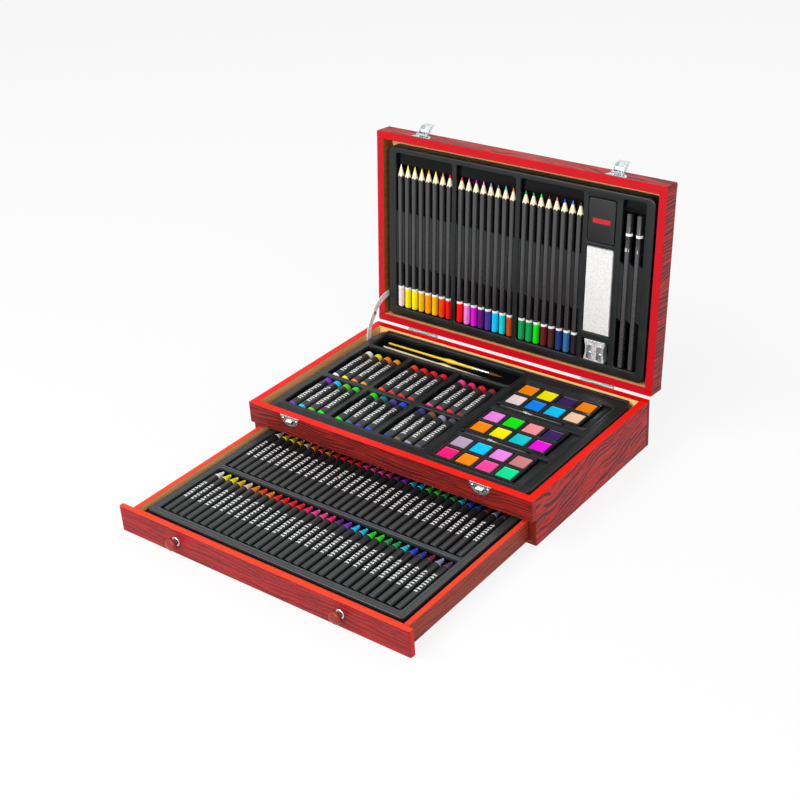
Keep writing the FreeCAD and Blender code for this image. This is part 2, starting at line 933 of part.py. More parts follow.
pastel_places = []
pastel_ridges = []
for span_x in pastel_spans_x:
    places = row_places(sum(span_x) / 2, pastel_pitch, pastels_in_pocket)
    for span_y in pastel_spans_y:
        pastel_ridges += floor_ridges(places, pastel_pitch, span_y, pastel_floor)
        pastel_places += [(place, span_y[0] + pastel_end_room) for place in places]

base_pockets = [
    (span_x, span_y, pastel_floor, pocket_radius)
    for span_x in pastel_spans_x
    for span_y in pastel_spans_y
]
base_tray = formed_tray(
    tray_x, tray_y, (shelf_top + tray_lift, tray_top), base_tray_radius,
    base_pockets + [trough] + palette_pockets + brush_slots,
).fuse(pastel_ridges)


def pastel_stick(place):
    x, y = place
    profile = [(0, pastel_radius), (pastel_length, pastel_radius)]
    return faceted(Vector(x, y, pastel_z), y_axis, profile, pastel_sides)


# Brushes: handle, ferrule and bristles in line, with the bristles towards +X.
def brush_pieces(start, direction, scale=1):
    handle = [
        (0, brush_handle_end_radius * scale),
        (brush_handle_length * scale * brush_belly_share, brush_handle_radius * scale),
        (brush_handle_length * scale, brush_ferrule_radius * scale),
    ]
    ferrule_length = brush_ferrule_length * scale
    ferrule = [(0, brush_ferrule_radius * scale), (ferrule_length, brush_ferrule_tip_radius * scale)]
    bristle = [
        (0, brush_ferrule_tip_radius * scale),
        (brush_bristle_length * scale, brush_bristle_tip_radius * scale),
    ]
    direction.normalize()
    at_ferrule = start + direction * (brush_handle_length * scale)
    at_bristle = at_ferrule + direction * ferrule_length
    return (
        faceted(start, direction, handle, brush_sides),
        faceted(at_ferrule, direction, ferrule, brush_sides),
        faceted(at_bristle, direction, bristle, brush_sides),
    )


brush_z = trough[2] + brush_handle_radius + fit
brush_sets = []
for index in range(trough_brushes):
    start = Vector(
        trough[0][0] + brush_left_room,
        trough[1][1] - brush_back_room - index * brush_spacing,
        brush_z,
    )
    lean = Rotation(z_axis, -brush_lean * index)
    brush_sets.append(brush_pieces(start, lean.multVec(x_axis)))


def palette_brush(slot):
    scale = palette_brush_length / (
        brush_handle_length + brush_ferrule_length + brush_bristle_length
    )
    centre_y = sum(slot[1]) / 2
    start_x = slot[0][0] + palette_slot_end_room / 2
    height = slot[2] + brush_handle_radius * scale + fit
    pieces = brush_pieces(Vector(start_x, centre_y, height), Vector(1, 0, 0), scale)
    return pieces[0].fuse(list(pieces[1:]))


palette_top = palette_floor + fit + palette_height
cake_top = palette_top - cake_drop
cake_floor = cake_top - cake_thickness
cake_places = []
for span in palette_spans_y:
    centre_y = sum(span) / 2
    for x in row_places(sum(palette_x) / 2, cake_pitch_x, cakes_across):
        cake_places += [(x, y) for y in row_places(centre_y, cake_pitch_y, cakes_deep)]


def square_block(place, side, zs):
    return block(about(place[0], side), about(place[1], side), zs)


def cake(place):
    return square_block(place, cake_side, (cake_floor, cake_top))


def well(place):
    side = cake_side + 2 * well_room
    return square_block(place, side, (cake_floor - fit, palette_top + overrun))


def palette(span):
    plate = cornered_block(palette_x, span, (palette_floor + fit, palette_top), palette_radius)
    inset = cornered_block(
        grown(palette_x, -palette_rim), grown(span, -palette_rim),
        (palette_top - palette_rim / 2, palette_top + overrun), palette_radius - palette_rim,
    )
    wells = [well(place) for place in cake_places if span[0] < place[1] < span[1]]
    return plate.cut([inset] + wells)


# Drawer, drawn shut

drawer_side_x = inner_x - drawer_side_gap
drawer_inner_x = drawer_side_x - drawer_board
drawer_z = (bottom_thickness + drawer_foot_gap, bottom_thickness + drawer_foot_gap + drawer_side_height)
drawer_y = (front + overlay_thickness, inner_back - drawer_back_gap)
overlay_z = (overlay_foot, rail_bottom - overlay_gap)
panel_low = drawer_z[0] + drawer_bottom_lift
drawer_bottom = block(
    (-drawer_inner_x - drawer_groove, drawer_inner_x + drawer_groove),
    (drawer_y[0] + drawer_board - drawer_groove, drawer_y[1] - drawer_board + drawer_groove),
    (panel_low, panel_low + drawer_bottom_thickness),
)
knob_points = [Vector(place, front, knob_height) for place in knob_places]


def knob_screw(point):
    inner_face = drawer_y[0] + drawer_board
    start = Vector(point.x, inner_face, point.z)
    reach = inner_face - front
    sink = knob_screw_head - knob_screw_radius
    profile = [
        (0, knob_screw_head),
        (sink, knob_screw_radius),
        (reach + knob_screw_bite, knob_screw_radius),
    ]
    return faceted(start, -y_axis, profile, screw_sides)


def knob_screw_hole(point):
    inner_face = drawer_y[0] + drawer_board
    sink = knob_screw_head - knob_screw_radius
    profile = [
        (-overrun, knob_screw_head + pin_fit + overrun),
        (sink, knob_screw_radius + pin_fit),
        (inner_face - front + knob_screw_bite + pin_fit, knob_screw_radius + pin_fit),
    ]
    return faceted(Vector(point.x, inner_face, point.z), -y_axis, profile, screw_sides)


def knob_ferrule(point):
    ring = [
        (0, ferrule_radius),
        (ferrule_thickness / 2, ferrule_radius),
        (ferrule_thickness, ferrule_radius - ferrule_thickness / 2),
    ]
    return faceted(point, -y_axis, ring, knob_sides).cut(knob_screw_hole(point))


def knob(point):
    start = point - y_axis * ferrule_thickness
    profile = [
        (along_share * knob_length, radius_share * knob_radius)
        for along_share, radius_share in knob_shares
    ]
    return faceted(start, -y_axis, profile, knob_sides).cut(knob_screw_hole(point))


knob_holes = [knob_screw_hole(point) for point in knob_points]
drawer_front = block((-half_width, half_width), (front, drawer_y[0]), overlay_z)
drawer_front = drawer_front.common(case_outline).cut(knob_holes)
drawer_box_front = block(
    (-drawer_inner_x, drawer_inner_x), (drawer_y[0], drawer_y[0] + drawer_board), drawer_z
).cut([drawer_bottom] + knob_holes)
drawer_back = block(
    (-drawer_inner_x, drawer_inner_x), (drawer_y[1] - drawer_board, drawer_y[1]), drawer_z
).cut(drawer_bottom)


def drawer_side(side):
    xs = sorted((side * drawer_inner_x, side * drawer_side_x))
    return block(xs, drawer_y, drawer_z).cut(drawer_bottom)


drawer_tray_x = grown((-drawer_inner_x, drawer_inner_x), -drawer_tray_gap)
drawer_tray_y = grown((drawer_y[0] + drawer_board, drawer_y[1] - drawer_board), -drawer_tray_gap)
drawer_tray_z = (panel_low + drawer_bottom_thickness + tray_lift, drawer_z[1] - drawer_tray_drop)
crayon_z = drawer_tray_z[1] - crayon_drop
crayon_floor = crayon_z - crayon_radius - fit
crayon_places_x = row_places(0, crayon_pitch, crayons_in_row)
crayon_pocket_x = grown((crayon_places_x[0], crayon_places_x[-1]), crayon_radius + crayon_side_room)
crayon_pocket_length = crayon_length + 2 * crayon_end_room
crayon_pockets = []
crayon_ridges = []
crayon_places = []
for index in range(crayon_rows):
    low = drawer_tray_y[0] + crayon_front_margin + index * (crayon_pocket_length + crayon_row_bar)
    span = (low, low + crayon_pocket_length)
    crayon_pockets.append((crayon_pocket_x, span, crayon_floor, pocket_radius))
    crayon_ridges += floor_ridges(crayon_places_x, crayon_pitch, span, crayon_floor)
    crayon_places += [(x, low + crayon_end_room) for x in crayon_places_x]
drawer_tray = formed_tray(
    drawer_tray_x, drawer_tray_y, drawer_tray_z, drawer_tray_radius, crayon_pockets
).fuse(crayon_ridges)


def crayon(place):
    profile = [
        (0, crayon_radius),
        (crayon_length - crayon_cone, crayon_radius),
        (crayon_length, crayon_tip_radius),
    ]
    return faceted(Vector(place[0], place[1], crayon_z), y_axis, profile, crayon_sides)


# Lid, drawn on its back with the rim at z = 0

def lid_end_board(y_out, inward):
    return end_board(y_out, inward, (-lid_height, 0))


lid_outline = footprint((0, case_depth), (-lid_height, 0))
lid_panel = block(
    (-inner_x - rebate_width, inner_x + rebate_width),
    (board - rebate_width, case_depth - board + rebate_width),
    (-lid_height, -lid_height + lid_panel_thickness),
)
lid_back_board = lid_end_board(0, 1).common(lid_outline)
lid_back_board = lid_back_board.cut([lid_panel] + [screw_hole(p) for p in hinge_lid_screw_places])
lid_front_board = lid_end_board(case_depth, -1).common(lid_outline)
lid_front_board = lid_front_board.cut([lid_panel] + [screw_hole(p) for p in latch_screw_places])
lid_side_span = (lap, case_depth - lap)
lid_left_board = side_board(-1, lid_side_span, (-lid_height, 0)).cut(
    [lid_panel, stay_screw_hole(stay_lid_pivot_local)]
)
lid_right_board = side_board(1, lid_side_span, (-lid_height, 0)).cut(lid_panel)

lid_tray_x = grown((-inner_x, inner_x), -lid_tray_side_gap)
lid_tray_y = (board + lid_tray_hinge_margin, case_depth - board - lid_tray_front_margin)
lid_tray_z = (-lid_height + lid_panel_thickness + tray_lift, -lid_tray_recess)
pencil_z = lid_tray_z[1] - pencil_drop
pencil_corner = pencil_flats / math.sqrt(3)
pencil_floor = lid_tray_z[1] - pencil_pocket_depth
pencil_pocket_width = (
    pencil_pitch * (pencils_in_pocket - 1) + 2 * (pencil_corner + pencil_side_room)
)
pencil_pocket_y = (
    lid_tray_y[0] + pencil_pocket_margin,
    lid_tray_y[0] + pencil_pocket_margin + pencil_pocket_length,
)
pencil_foot = pencil_pocket_y[0] + pencil_foot_room
pencil_ledge_y = (pencil_pocket_y[1] - pencil_pocket_radius, pencil_pocket_y[1] + pencil_ledge_length)
pencil_ledge_floor = lid_tray_z[1] - pencil_ledge_depth
pencil_pocket_list = []
pencil_places = []
for index in range(pencil_pockets):
    low = (
        lid_tray_x[0] + first_pencil_pocket_margin
        + index * (pencil_pocket_width + pencil_pocket_bar)
    )
    span = (low, low + pencil_pocket_width)
    pencil_pocket_list.append((span, pencil_pocket_y, pencil_floor, pencil_pocket_radius))
    pencil_places.append(row_places(sum(span) / 2, pencil_pitch, pencils_in_pocket))

flute_y = (
    pencil_pocket_y[0] + pencil_pocket_length * flute_start_share,
    pencil_pocket_y[0] + pencil_pocket_length * flute_end_share,
)
flute_top = lid_tray_z[1] - flute_drop
flute_radius = pencil_corner + flute_room


# A hollow step across a pocket with one open groove for each stick that it holds.
def fluted_step(span_x, places):
    step = block(grown(span_x, sheet / 2), flute_y, (pencil_floor - sheet / 2, flute_top))
    grooves = []
    for place in places:
        start = Vector(place, flute_y[0] - overrun, pencil_z)
        groove = [(0, flute_radius), (flute_y[1] - flute_y[0] + 2 * overrun, flute_radius)]
        grooves.append(faceted(start, y_axis, groove, flute_sides, turn_share=0))
        grooves.append(block(
            about(place, 2 * flute_radius), grown(flute_y, overrun), (pencil_z, flute_top + overrun)
        ))
    return step.cut(grooves)


def flute_hollow(span_x):
    return block(
        grown(span_x, -sheet - draft), grown(flute_y, -sheet),
        (pencil_floor - 2 * sheet, pencil_z - flute_radius - sheet),
    )


tool_x = (
    pencil_pocket_list[-1][0][1] + tool_column_gap,
    pencil_pocket_list[-1][0][1] + tool_column_gap + tool_column_width,
)
tool_centre = sum(tool_x) / 2
tool_floor = lid_tray_z[1] - tool_depth
sharpener_y = (pencil_pocket_y[0], pencil_pocket_y[0] + sharpener_length + 2 * tool_room)
sanding_y = (
    sharpener_y[1] + tool_gap_small,
    sharpener_y[1] + tool_gap_small + sanding_length + 2 * tool_room,
)
eraser_y = (
    sanding_y[1] + tool_gap_large,
    sanding_y[1] + tool_gap_large + eraser_length + 2 * tool_room,
)
sketch_x = (tool_x[1] + sketch_pocket_gap, tool_x[1] + sketch_pocket_gap + sketch_pocket_width)
sketch_places = row_places(sum(sketch_x) / 2, sketch_pitch, sketch_pencils)
tool_pockets = [
    (tool_x, sharpener_y, tool_floor, tool_pocket_radius),
    (tool_x, sanding_y, tool_floor, tool_pocket_radius),
    (tool_x, eraser_y, tool_floor, tool_pocket_radius),
    (sketch_x, pencil_pocket_y, pencil_floor, pencil_pocket_radius),
]
fluted_spans = [pocket[0] for pocket in pencil_pocket_list] + [sketch_x]
fluted_places = pencil_places + [sketch_places]
ledges = [
    (span, pencil_ledge_y, pencil_ledge_floor, pencil_pocket_radius) for span in fluted_spans
]

lid_tray = formed_tray(
    lid_tray_x, lid_tray_y, lid_tray_z, lid_tray_radius,
    pencil_pocket_list + tool_pockets + ledges,
)
lid_tray = lid_tray.fuse([fluted_step(*pair) for pair in zip(fluted_spans, fluted_places)])
lid_tray = lid_tray.cut([flute_hollow(span) for span in fluted_spans])


# Pencils: a hexagonal wood barrel sharpened at its front end, with a lead in its point and a
# dipped cap on its foot. All three have a flat facing up, out of the tray.

cone_slope = pencil_corner / pencil_sharpened
pencil_tip = pencil_foot + pencil_length
lead_start = pencil_tip - lead_radius / cone_slope
shoulder = pencil_tip - pencil_sharpened


def hexagonal(x, stations):
    start = stations[0][0]
    profile = [(along - start, radius) for along, radius in stations]
    return faceted(Vector(x, start, pencil_z), y_axis, profile, pencil_sides, turn_share=0)


def pencil_barrel(x):
    return hexagonal(x, [
        (pencil_foot + pencil_cap, pencil_corner), (shoulder, pencil_corner), (lead_start, lead_radius)
    ])


def pencil_lead(x):
    point = pencil_tip - lead_point_radius / cone_slope
    return hexagonal(x, [(lead_start, lead_radius), (point, lead_point_radius)])


def pencil_cap_solid(x):
    return hexagonal(x, [(pencil_foot, pencil_corner), (pencil_foot + pencil_cap, pencil_corner)])


# A sketch pencil isn't sharpened yet: its core shows at both flat ends.
sketch_ends = (pencil_foot, pencil_foot + sketch_length)


def sketch_core(x):
    return hexagonal(x, [(along, sketch_core_radius) for along in sketch_ends])


def sketch_pencil(x):
    return hexagonal(x, [(along, pencil_corner) for along in sketch_ends]).cut(sketch_core(x))


all_pencils = [place for row in pencil_places for place in row]
tool_bottom = tool_floor + fit
tool_top = lid_tray_z[1] + tool_proud


def tool_block(ys):
    return cornered_block(
        grown(tool_x, -tool_room), grown(ys, -tool_room), (tool_bottom, tool_top), tool_radius
    )


# Two-hole metal sharpener: the holes run along Y, each opens into a mouth under its blade.
sharpener_top = tool_bottom + sharpener_thickness
sharpener_low_y = sharpener_y[0] + tool_room
sharpener_hole_places = row_places(tool_centre, sharpener_width / 2, 2)


def sharpener_body():
    body = block(
        about(tool_centre, sharpener_width),
        (sharpener_low_y, sharpener_low_y + sharpener_length),
        (tool_bottom, sharpener_top),
    )
    cuts = []
    for side in (-1, 1):
        x = tool_centre + side * sharpener_width / 2
        centre = Vector(x + side * sharpener_length, sharpener_low_y + sharpener_length / 2, tool_bottom)
        radius = sharpener_length + sharpener_waist
        cuts.append(rod(centre, z_axis, radius, sharpener_thickness))
    for place in sharpener_hole_places:
        height = sharpener_top - sharpener_bore - blade_thickness
        funnel = [
            (0, sharpener_bore),
            (sharpener_bore_length, sharpener_bore_tip),
            (sharpener_length, sharpener_bore_tip),
        ]
        start = Vector(place, sharpener_low_y, height)
        cuts.append(faceted(start, y_axis, funnel, sharpener_bore_sides))
        mouth_y = (sharpener_low_y + sharpener_waist, sharpener_low_y + blade_length - sharpener_waist)
        cuts.append(block(
            (place - sharpener_mouth, place), mouth_y, (height, sharpener_top + overrun)
        ))
    return body.cut(cuts)


def sharpener_blade(place):
    xs = (place - blade_thickness, place - blade_thickness + blade_width / 2)
    ys = (sharpener_low_y + sharpener_waist, sharpener_low_y + blade_length)
    return block(xs, ys, (sharpener_top, sharpener_top + blade_thickness))


def sharpener_screw(place):
    start = Vector(
        place - blade_thickness + blade_width / 4,
        sharpener_low_y + blade_length / 2,
        sharpener_top + blade_thickness,
    )
    dome = [
        (0, blade_width / 4),
        (blade_screw_height / 2, blade_width / 4),
        (blade_screw_height, blade_screw_radius / 2),
    ]
    return faceted(start, z_axis, dome, screw_sides)


nodes = {}


def add(name, solids):
    nodes[name] = solids if isinstance(solids, list) else [solids]


def add_posed(name, solids, pose):
    items = solids if isinstance(solids, list) else [solids]
    placed = []
    for item in items:
        moved = item.copy()
        moved.Placement = pose * moved.Placement
        placed.append(moved)
    nodes[name] = placed


add("left_side_panel", left_side)
add("right_side_panel", right_side)
add("back_panel", back_panel)
add("front_rail", front_rail)
add("bottom_board", bottom_board)
add("tray_shelf", tray_shelf)
add("base_tray", base_tray)
add("pastel_sticks", [pastel_stick(place) for place in pastel_places])
add("watercolour_palettes", [palette(span) for span in palette_spans_y])
add("watercolour_cakes", [cake(place) for place in cake_places])
add("brush_handles", [pieces[0] for pieces in brush_sets])
add("brush_ferrules", [pieces[1] for pieces in brush_sets])
add("brush_bristles", [pieces[2] for pieces in brush_sets])
add("palette_brushes", [palette_brush(slot) for slot in brush_slots])
add("strike_plates", [strike(place) for place in latch_places])
add("strike_screws", [screw(spot) for spot in strike_screw_places])
add("hinge_case_leaves", [
    hinge_leaf_solid(place, back, 1, hinge_axis.z, 0, hinge_case_screw_places)
    for place in hinge_places
])
add("hinge_pins", [hinge_pin(place) for place in hinge_places])
add("hinge_case_screws", [screw(spot) for spot in hinge_case_screw_places])
add("stay_case_screw", stay_screw(stay_case_pivot, lower_x))
add("stay_lower_link", stay_lower_link())
add("stay_elbow_rivet", stay_rivet())
add("stay_upper_link", stay_upper_link())

add_posed("lid_front_board", lid_front_board, lid_pose)
add_posed("lid_back_board", lid_back_board, lid_pose)
add_posed("lid_left_board", lid_left_board, lid_pose)
add_posed("lid_right_board", lid_right_board, lid_pose)
add_posed("lid_panel", lid_panel, lid_pose)
add_posed("lid_tray", lid_tray, lid_pose)
add_posed("pencil_barrels", [pencil_barrel(x) for x in all_pencils], lid_pose)
add_posed("pencil_caps", [pencil_cap_solid(x) for x in all_pencils], lid_pose)
add_posed("pencil_leads", [pencil_lead(x) for x in all_pencils], lid_pose)
add_posed("sketch_pencils", [sketch_pencil(x) for x in sketch_places], lid_pose)
add_posed("sketch_leads", [sketch_core(x) for x in sketch_places], lid_pose)
add_posed("eraser", tool_block(eraser_y), lid_pose)
add_posed("sanding_block", tool_block(sanding_y), lid_pose)
add_posed("sharpener_body", sharpener_body(), lid_pose)
add_posed("sharpener_blades", [sharpener_blade(x) for x in sharpener_hole_places], lid_pose)
add_posed("sharpener_screws", [sharpener_screw(x) for x in sharpener_hole_places], lid_pose)
add_posed("hinge_lid_leaves", [
    hinge_leaf_solid(place, 0, -1, parting_gap / 2, 1, hinge_lid_screw_places)
    for place in hinge_places
], lid_pose)
add_posed("hinge_lid_screws", [screw(spot) for spot in hinge_lid_screw_places], lid_pose)
add_posed("latch_plates", [latch_plate(place) for place in latch_places], lid_pose)
add_posed("latch_pins", [latch_pin(place) for place in latch_places], lid_pose)
add_posed("latch_screws", [screw(spot) for spot in latch_screw_places], lid_pose)
add_posed("stay_lid_screw", stay_screw(stay_lid_pivot_local, upper_x), lid_pose)
for name, place in zip(("left", "right"), latch_places):
    add_posed(name + "_latch_lever", shut_lever(place), lid_pose * lever_lift)
    add_posed(name + "_latch_claw", shut_claw(place), lid_pose * lever_lift * claw_hang)

add_posed("drawer_front", drawer_front, drawer_pose)
add_posed("drawer_box_front", drawer_box_front, drawer_pose)
add_posed("drawer_left_side", drawer_side(-1), drawer_pose)
add_posed("drawer_right_side", drawer_side(1), drawer_pose)
add_posed("drawer_back", drawer_back, drawer_pose)
add_posed("drawer_bottom", drawer_bottom, drawer_pose)
add_posed("drawer_tray", drawer_tray, drawer_pose)
add_posed("crayons", [crayon(place) for place in crayon_places], drawer_pose)
add_posed("knobs", [knob(point) for point in knob_points], drawer_pose)
add_posed("knob_ferrules", [knob_ferrule(point) for point in knob_points], drawer_pose)
add_posed("knob_screws", [knob_screw(point) for point in knob_points], drawer_pose)

os.makedirs("parts", exist_ok=True)
for name, solids in nodes.items():
    shape = solids[0] if len(solids) == 1 else Part.makeCompound(solids)
    shape.exportStep("parts/" + name + ".step")
    print(name, len(shape.Solids), "solids, valid", shape.isValid())
print("hinge axis", hinge_axis)
print("latch pivot", lid_pose.multVec(lever_pivot))
print("claw pivot at rest", (lid_pose * lever_lift).multVec(claw_pivot))
print("stay pivots", stay_lid_pivot, stay_elbow, stay_case_pivot)
print(len(nodes), "nodes")
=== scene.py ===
import math

import bmesh
import bpy
from mathutils import Matrix, Vector, noise


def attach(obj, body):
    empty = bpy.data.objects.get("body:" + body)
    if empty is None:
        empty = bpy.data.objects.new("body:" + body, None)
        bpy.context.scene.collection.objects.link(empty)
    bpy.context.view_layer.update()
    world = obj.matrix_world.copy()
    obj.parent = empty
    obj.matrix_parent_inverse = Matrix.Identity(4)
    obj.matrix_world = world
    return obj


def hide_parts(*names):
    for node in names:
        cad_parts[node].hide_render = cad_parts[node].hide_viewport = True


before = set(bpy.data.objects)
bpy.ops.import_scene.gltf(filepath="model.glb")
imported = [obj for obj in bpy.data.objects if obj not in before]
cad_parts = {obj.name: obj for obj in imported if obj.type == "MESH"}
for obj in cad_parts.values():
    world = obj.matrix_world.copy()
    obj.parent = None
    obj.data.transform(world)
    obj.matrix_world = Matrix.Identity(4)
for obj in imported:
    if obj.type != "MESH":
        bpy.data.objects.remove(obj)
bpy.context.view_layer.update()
print("frame loaded:", len(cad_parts), "nodes")

# Sizes below are in millimetres. The lid's pieces are drawn lying on the lid's back: x as on the
# case, y from the hinge edge to the front edge, z falling into the lid from its rim. The drawer's
# pieces are drawn with the drawer shut. A body's place then puts its pieces where they stand at rest.
mm = 0.001
drawerOut, lidOpen = 198, math.radians(95)
hingeLine, shutLid = Vector((0, 118, 55.25)) * mm, Vector((0, 116, 55.5)) * mm
bodyPlaces = {
    "case": Matrix.Identity(4),
    "drawer": Matrix.Translation((0, -drawerOut * mm, 0)),
    "lid": (
        Matrix.Translation(hingeLine) @ Matrix.Rotation(-lidOpen, 4, "X")
        @ Matrix.Translation(shutLid - hingeLine) @ Matrix.Rotation(math.pi, 4, "X")
    ),
}
up, down, left, right, front, rear = (0, 0, 1), (0, 0, -1), (-1, 0, 0), (1, 0, 0), (0, -1, 0), (0, 1, 0)


def linear(channel):
    channel = channel / 255
    return channel / 12.92 if channel <= 0.04045 else ((channel + 0.055) / 1.055) ** 2.4


def paint(red, green, blue):
    return (linear(red), linear(green), linear(blue), 1.0)


def toned(colour, share):
    return tuple(share * channel for channel in colour[:3]) + (1,)


colours = {name: paint(*levels) for name, levels in {
    "white": (250, 250, 246), "palePink": (246, 222, 224), "peach": (250, 212, 172), "yellow": (255, 244, 0),
    "gold": (250, 196, 10), "amber": (252, 164, 12), "orange": (255, 140, 0), "burntOrange": (206, 72, 14),
    "orangeRed": (250, 74, 12), "red": (252, 8, 10), "brownRed": (150, 40, 26), "hotPink": (255, 20, 120),
    "pink": (255, 70, 158), "orchid": (244, 138, 236), "salmon": (250, 152, 158), "magenta": (238, 10, 226),
    "purple": (96, 26, 128), "violet": (128, 44, 206), "indigo": (76, 52, 152), "darkViolet": (56, 32, 92),
    "lilac": (170, 150, 206), "skyBlue": (0, 204, 255), "cyan": (0, 214, 226), "turquoise": (10, 206, 214),
    "teal": (16, 122, 132), "blue": (16, 72, 232), "brightBlue": (0, 138, 252), "darkBlue": (44, 48, 150),
    "navy": (28, 56, 126), "steelBlue": (52, 112, 168), "green": (10, 160, 84), "brightGreen": (8, 236, 14),
    "yellowGreen": (110, 200, 24), "springGreen": (0, 228, 152), "maroon": (112, 24, 34),
    "roseBrown": (208, 130, 134), "brown": (128, 88, 44), "darkBrown": (78, 40, 36), "mauve": (186, 164, 192),
    "lavender": (156, 150, 190), "plum": (94, 54, 92), "greyViolet": (84, 76, 96), "aubergine": (42, 26, 46),
    "charcoal": (44, 44, 48),
}.items()}


# Small mesh tools

def grown(span, amount):
    return (span[0] - amount, span[1] + amount)


def about(centre, width):
    return (centre - width / 2, centre + width / 2)


def rowPlaces(first, pitch, count):
    return [first + pitch * index for index in range(count)]


# Points of a rectangle with round corners. A bulge is (y of its middle, half length, reach).
def cornerRing(xs, ys, z, radius, steps=6, bulge=None):
    radius = max(radius, 0.05)
    corners = (
        (xs[1] - radius, ys[0] + radius, -90), (xs[1] - radius, ys[1] - radius, 0),
        (xs[0] + radius, ys[1] - radius, 90), (xs[0] + radius, ys[0] + radius, 180),
    )
    ring = []
    for index, (x, y, start) in enumerate(corners):
        for step in range(steps + 1):
            angle = math.radians(start + 90 * step / steps)
            ring.append(Vector((x + radius * math.cos(angle), y + radius * math.sin(angle), z)))
        if bulge and index in (0, 2):
            middle, half, reach = bulge
            wall, outward = (xs[1], 1) if index == 0 else (xs[0], -1)
            for step in range(1, 12):
                share = step / 6 - 1
                swell = outward * reach * (1 - share * share) ** 0.6
                ring.append(Vector((wall + swell, middle + outward * half * share, z)))
    return ring


# One ring for each (growth, height) of a profile. The corners' radius grows by tighten times as much.
def profileRings(xs, ys, radius, profile, steps=6, bulge=None, tighten=1.0):
    return [
        cornerRing(grown(xs, grow), grown(ys, grow), z, radius + grow * tighten, steps, bulge)
        for grow, z in profile
    ]


def addRings(bm, pointRings):
    return [[bm.verts.new(point) for point in points] for points in pointRings]


def bridge(bm, rings):
    faces = []
    for lower, upper in zip(rings, rings[1:]):
        for index in range(len(lower)):
            following = (index + 1) % len(lower)
            faces.append(bm.faces.new((lower[index], lower[following], upper[following], upper[index])))
    return faces


def ringEdges(bm, ring):
    return [bm.edges.get((vertex, ring[(index + 1) % len(ring)])) for index, vertex in enumerate(ring)]


# A wall with a floor or a lid at one end. Gives the edges of its other end, to be joined to a face.
def addCup(bm, pointRings, closed=-1):
    rings = addRings(bm, pointRings)
    bridge(bm, rings)
    bm.faces.new(rings[closed])
    return ringEdges(bm, rings[-1 - closed])


def addSolid(bm, pointRings):
    rings = addRings(bm, pointRings)
    faces = bridge(bm, rings) + [bm.faces.new(rings[0]), bm.faces.new(rings[-1])]
    bmesh.ops.recalc_face_normals(bm, faces=faces)
    return faces


# A block with round upright corners and softened top edges
def addSoftBlock(bm, xs, ys, zs, radius, soften=0.5, steps=5):
    low, high = zs
    addSolid(bm, profileRings(xs, ys, radius, (
        (-soften * 0.6, low), (0, low + soften * 0.6), (0, high - soften),
        (-soften * 0.3, high - soften * 0.3), (-soften, high),
    ), steps))


# Fills the top between the border of the wall and those of the cups
def fillTop(bm, borders):
    bmesh.ops.triangle_fill(bm, edges=borders, use_beauty=True)
    bmesh.ops.recalc_face_normals(bm, faces=bm.faces[:])


# The tint layer keeps the paint. The spot layer keeps (distance along, turn from the top, seed) for marks.
def startMesh():
    bm = bmesh.new()
    for layer in ("tint", "spot"):
        bm.loops.layers.float_color.new(layer)
    return bm


def paintFaces(bm, faces, colour):
    tint = bm.loops.layers.float_color["tint"]
    for face in faces:
        for loop in face.loops:
            loop[tint] = colour


# Stations of one colour, from pairs of (distance along, radius)
def stretch(colour, *pairs, slot=0):
    return [(along, radius, colour, slot) for along, radius in pairs]


# A turned piece. Its stations are (along, radius, colour, slot), the last two for the stretch that
# follows. A radius may be a function that gives (radius, shift along) for an angle.
def addTurned(bm, start, direction, stations, sides=24, seed=0.0, shape=None):
    tint, spot = (bm.loops.layers.float_color[layer] for layer in ("tint", "spot"))
    direction = Vector(direction).normalized()
    side = direction.cross(Vector(up)).normalized()
    upward = side.cross(direction)
    angles = shape or [math.tau * index / sides for index in range(sides)]
    rings = []
    for along, radius, colour, slot in stations:
        points = []
        for angle in angles:
            reach, shift = radius(angle) if callable(radius) else (radius, 0)
            offset = side * math.cos(angle) * reach + upward * math.sin(angle) * reach
            points.append(Vector(start) + direction * (along + shift) + offset)
        rings += addRings(bm, [points])
    turns = list(zip(angles, angles[1:] + [angles[0] + math.tau]))
    made = []
    for lower, upper, here, following in zip(rings, rings[1:], stations, stations[1:]):
        for face, (turn, nextTurn) in zip(bridge(bm, [lower, upper]), turns):
            face.material_index = here[3]
            corners = ((here[0], turn), (here[0], nextTurn), (following[0], nextTurn), (following[0], turn))
            for loop, (along, angle) in zip(face.loops, corners):
                loop[tint] = here[2]
                loop[spot] = (along, (angle - math.pi / 2 + math.pi) % math.tau - math.pi, seed, 1)
            made.append(face)
    for ring, (along, radius, colour, slot) in ((rings[0], stations[0]), (rings[-1], stations[-2])):
        face = bm.faces.new(ring)
        face.material_index = slot
        for loop in face.loops:
            loop[tint] = colour
            loop[spot] = (-50, 0, seed, 1)  # before any mark starts
        made.append(face)
    bmesh.ops.recalc_face_normals(bm, faces=made)
    return made


def addObject(name, data):
    made = bpy.data.objects.new(name, data)
    bpy.context.scene.collection.objects.link(made)
    return made


def meshFrom(bm, name, materials):
    mesh = bpy.data.meshes.new(name)
    bm.to_mesh(mesh)
    bm.free()
    for material in materials:
        mesh.materials.append(material)
    return mesh


# Faces that meet at less than the sharp angle, in degrees, are shaded as one curved surface.
def makePiece(name, bm, materials, body, replaced, sharp=34):
    mesh = meshFrom(bm, name, materials)
    mesh.transform(Matrix.Scale(mm, 4))
    mesh.polygons.foreach_set("use_smooth", [True] * len(mesh.polygons))
    mesh.set_sharp_from_angle(angle=math.radians(sharp))
    piece = addObject(name, mesh)
    piece.matrix_world = bodyPlaces[body]
    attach(piece, body)
    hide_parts(replaced)


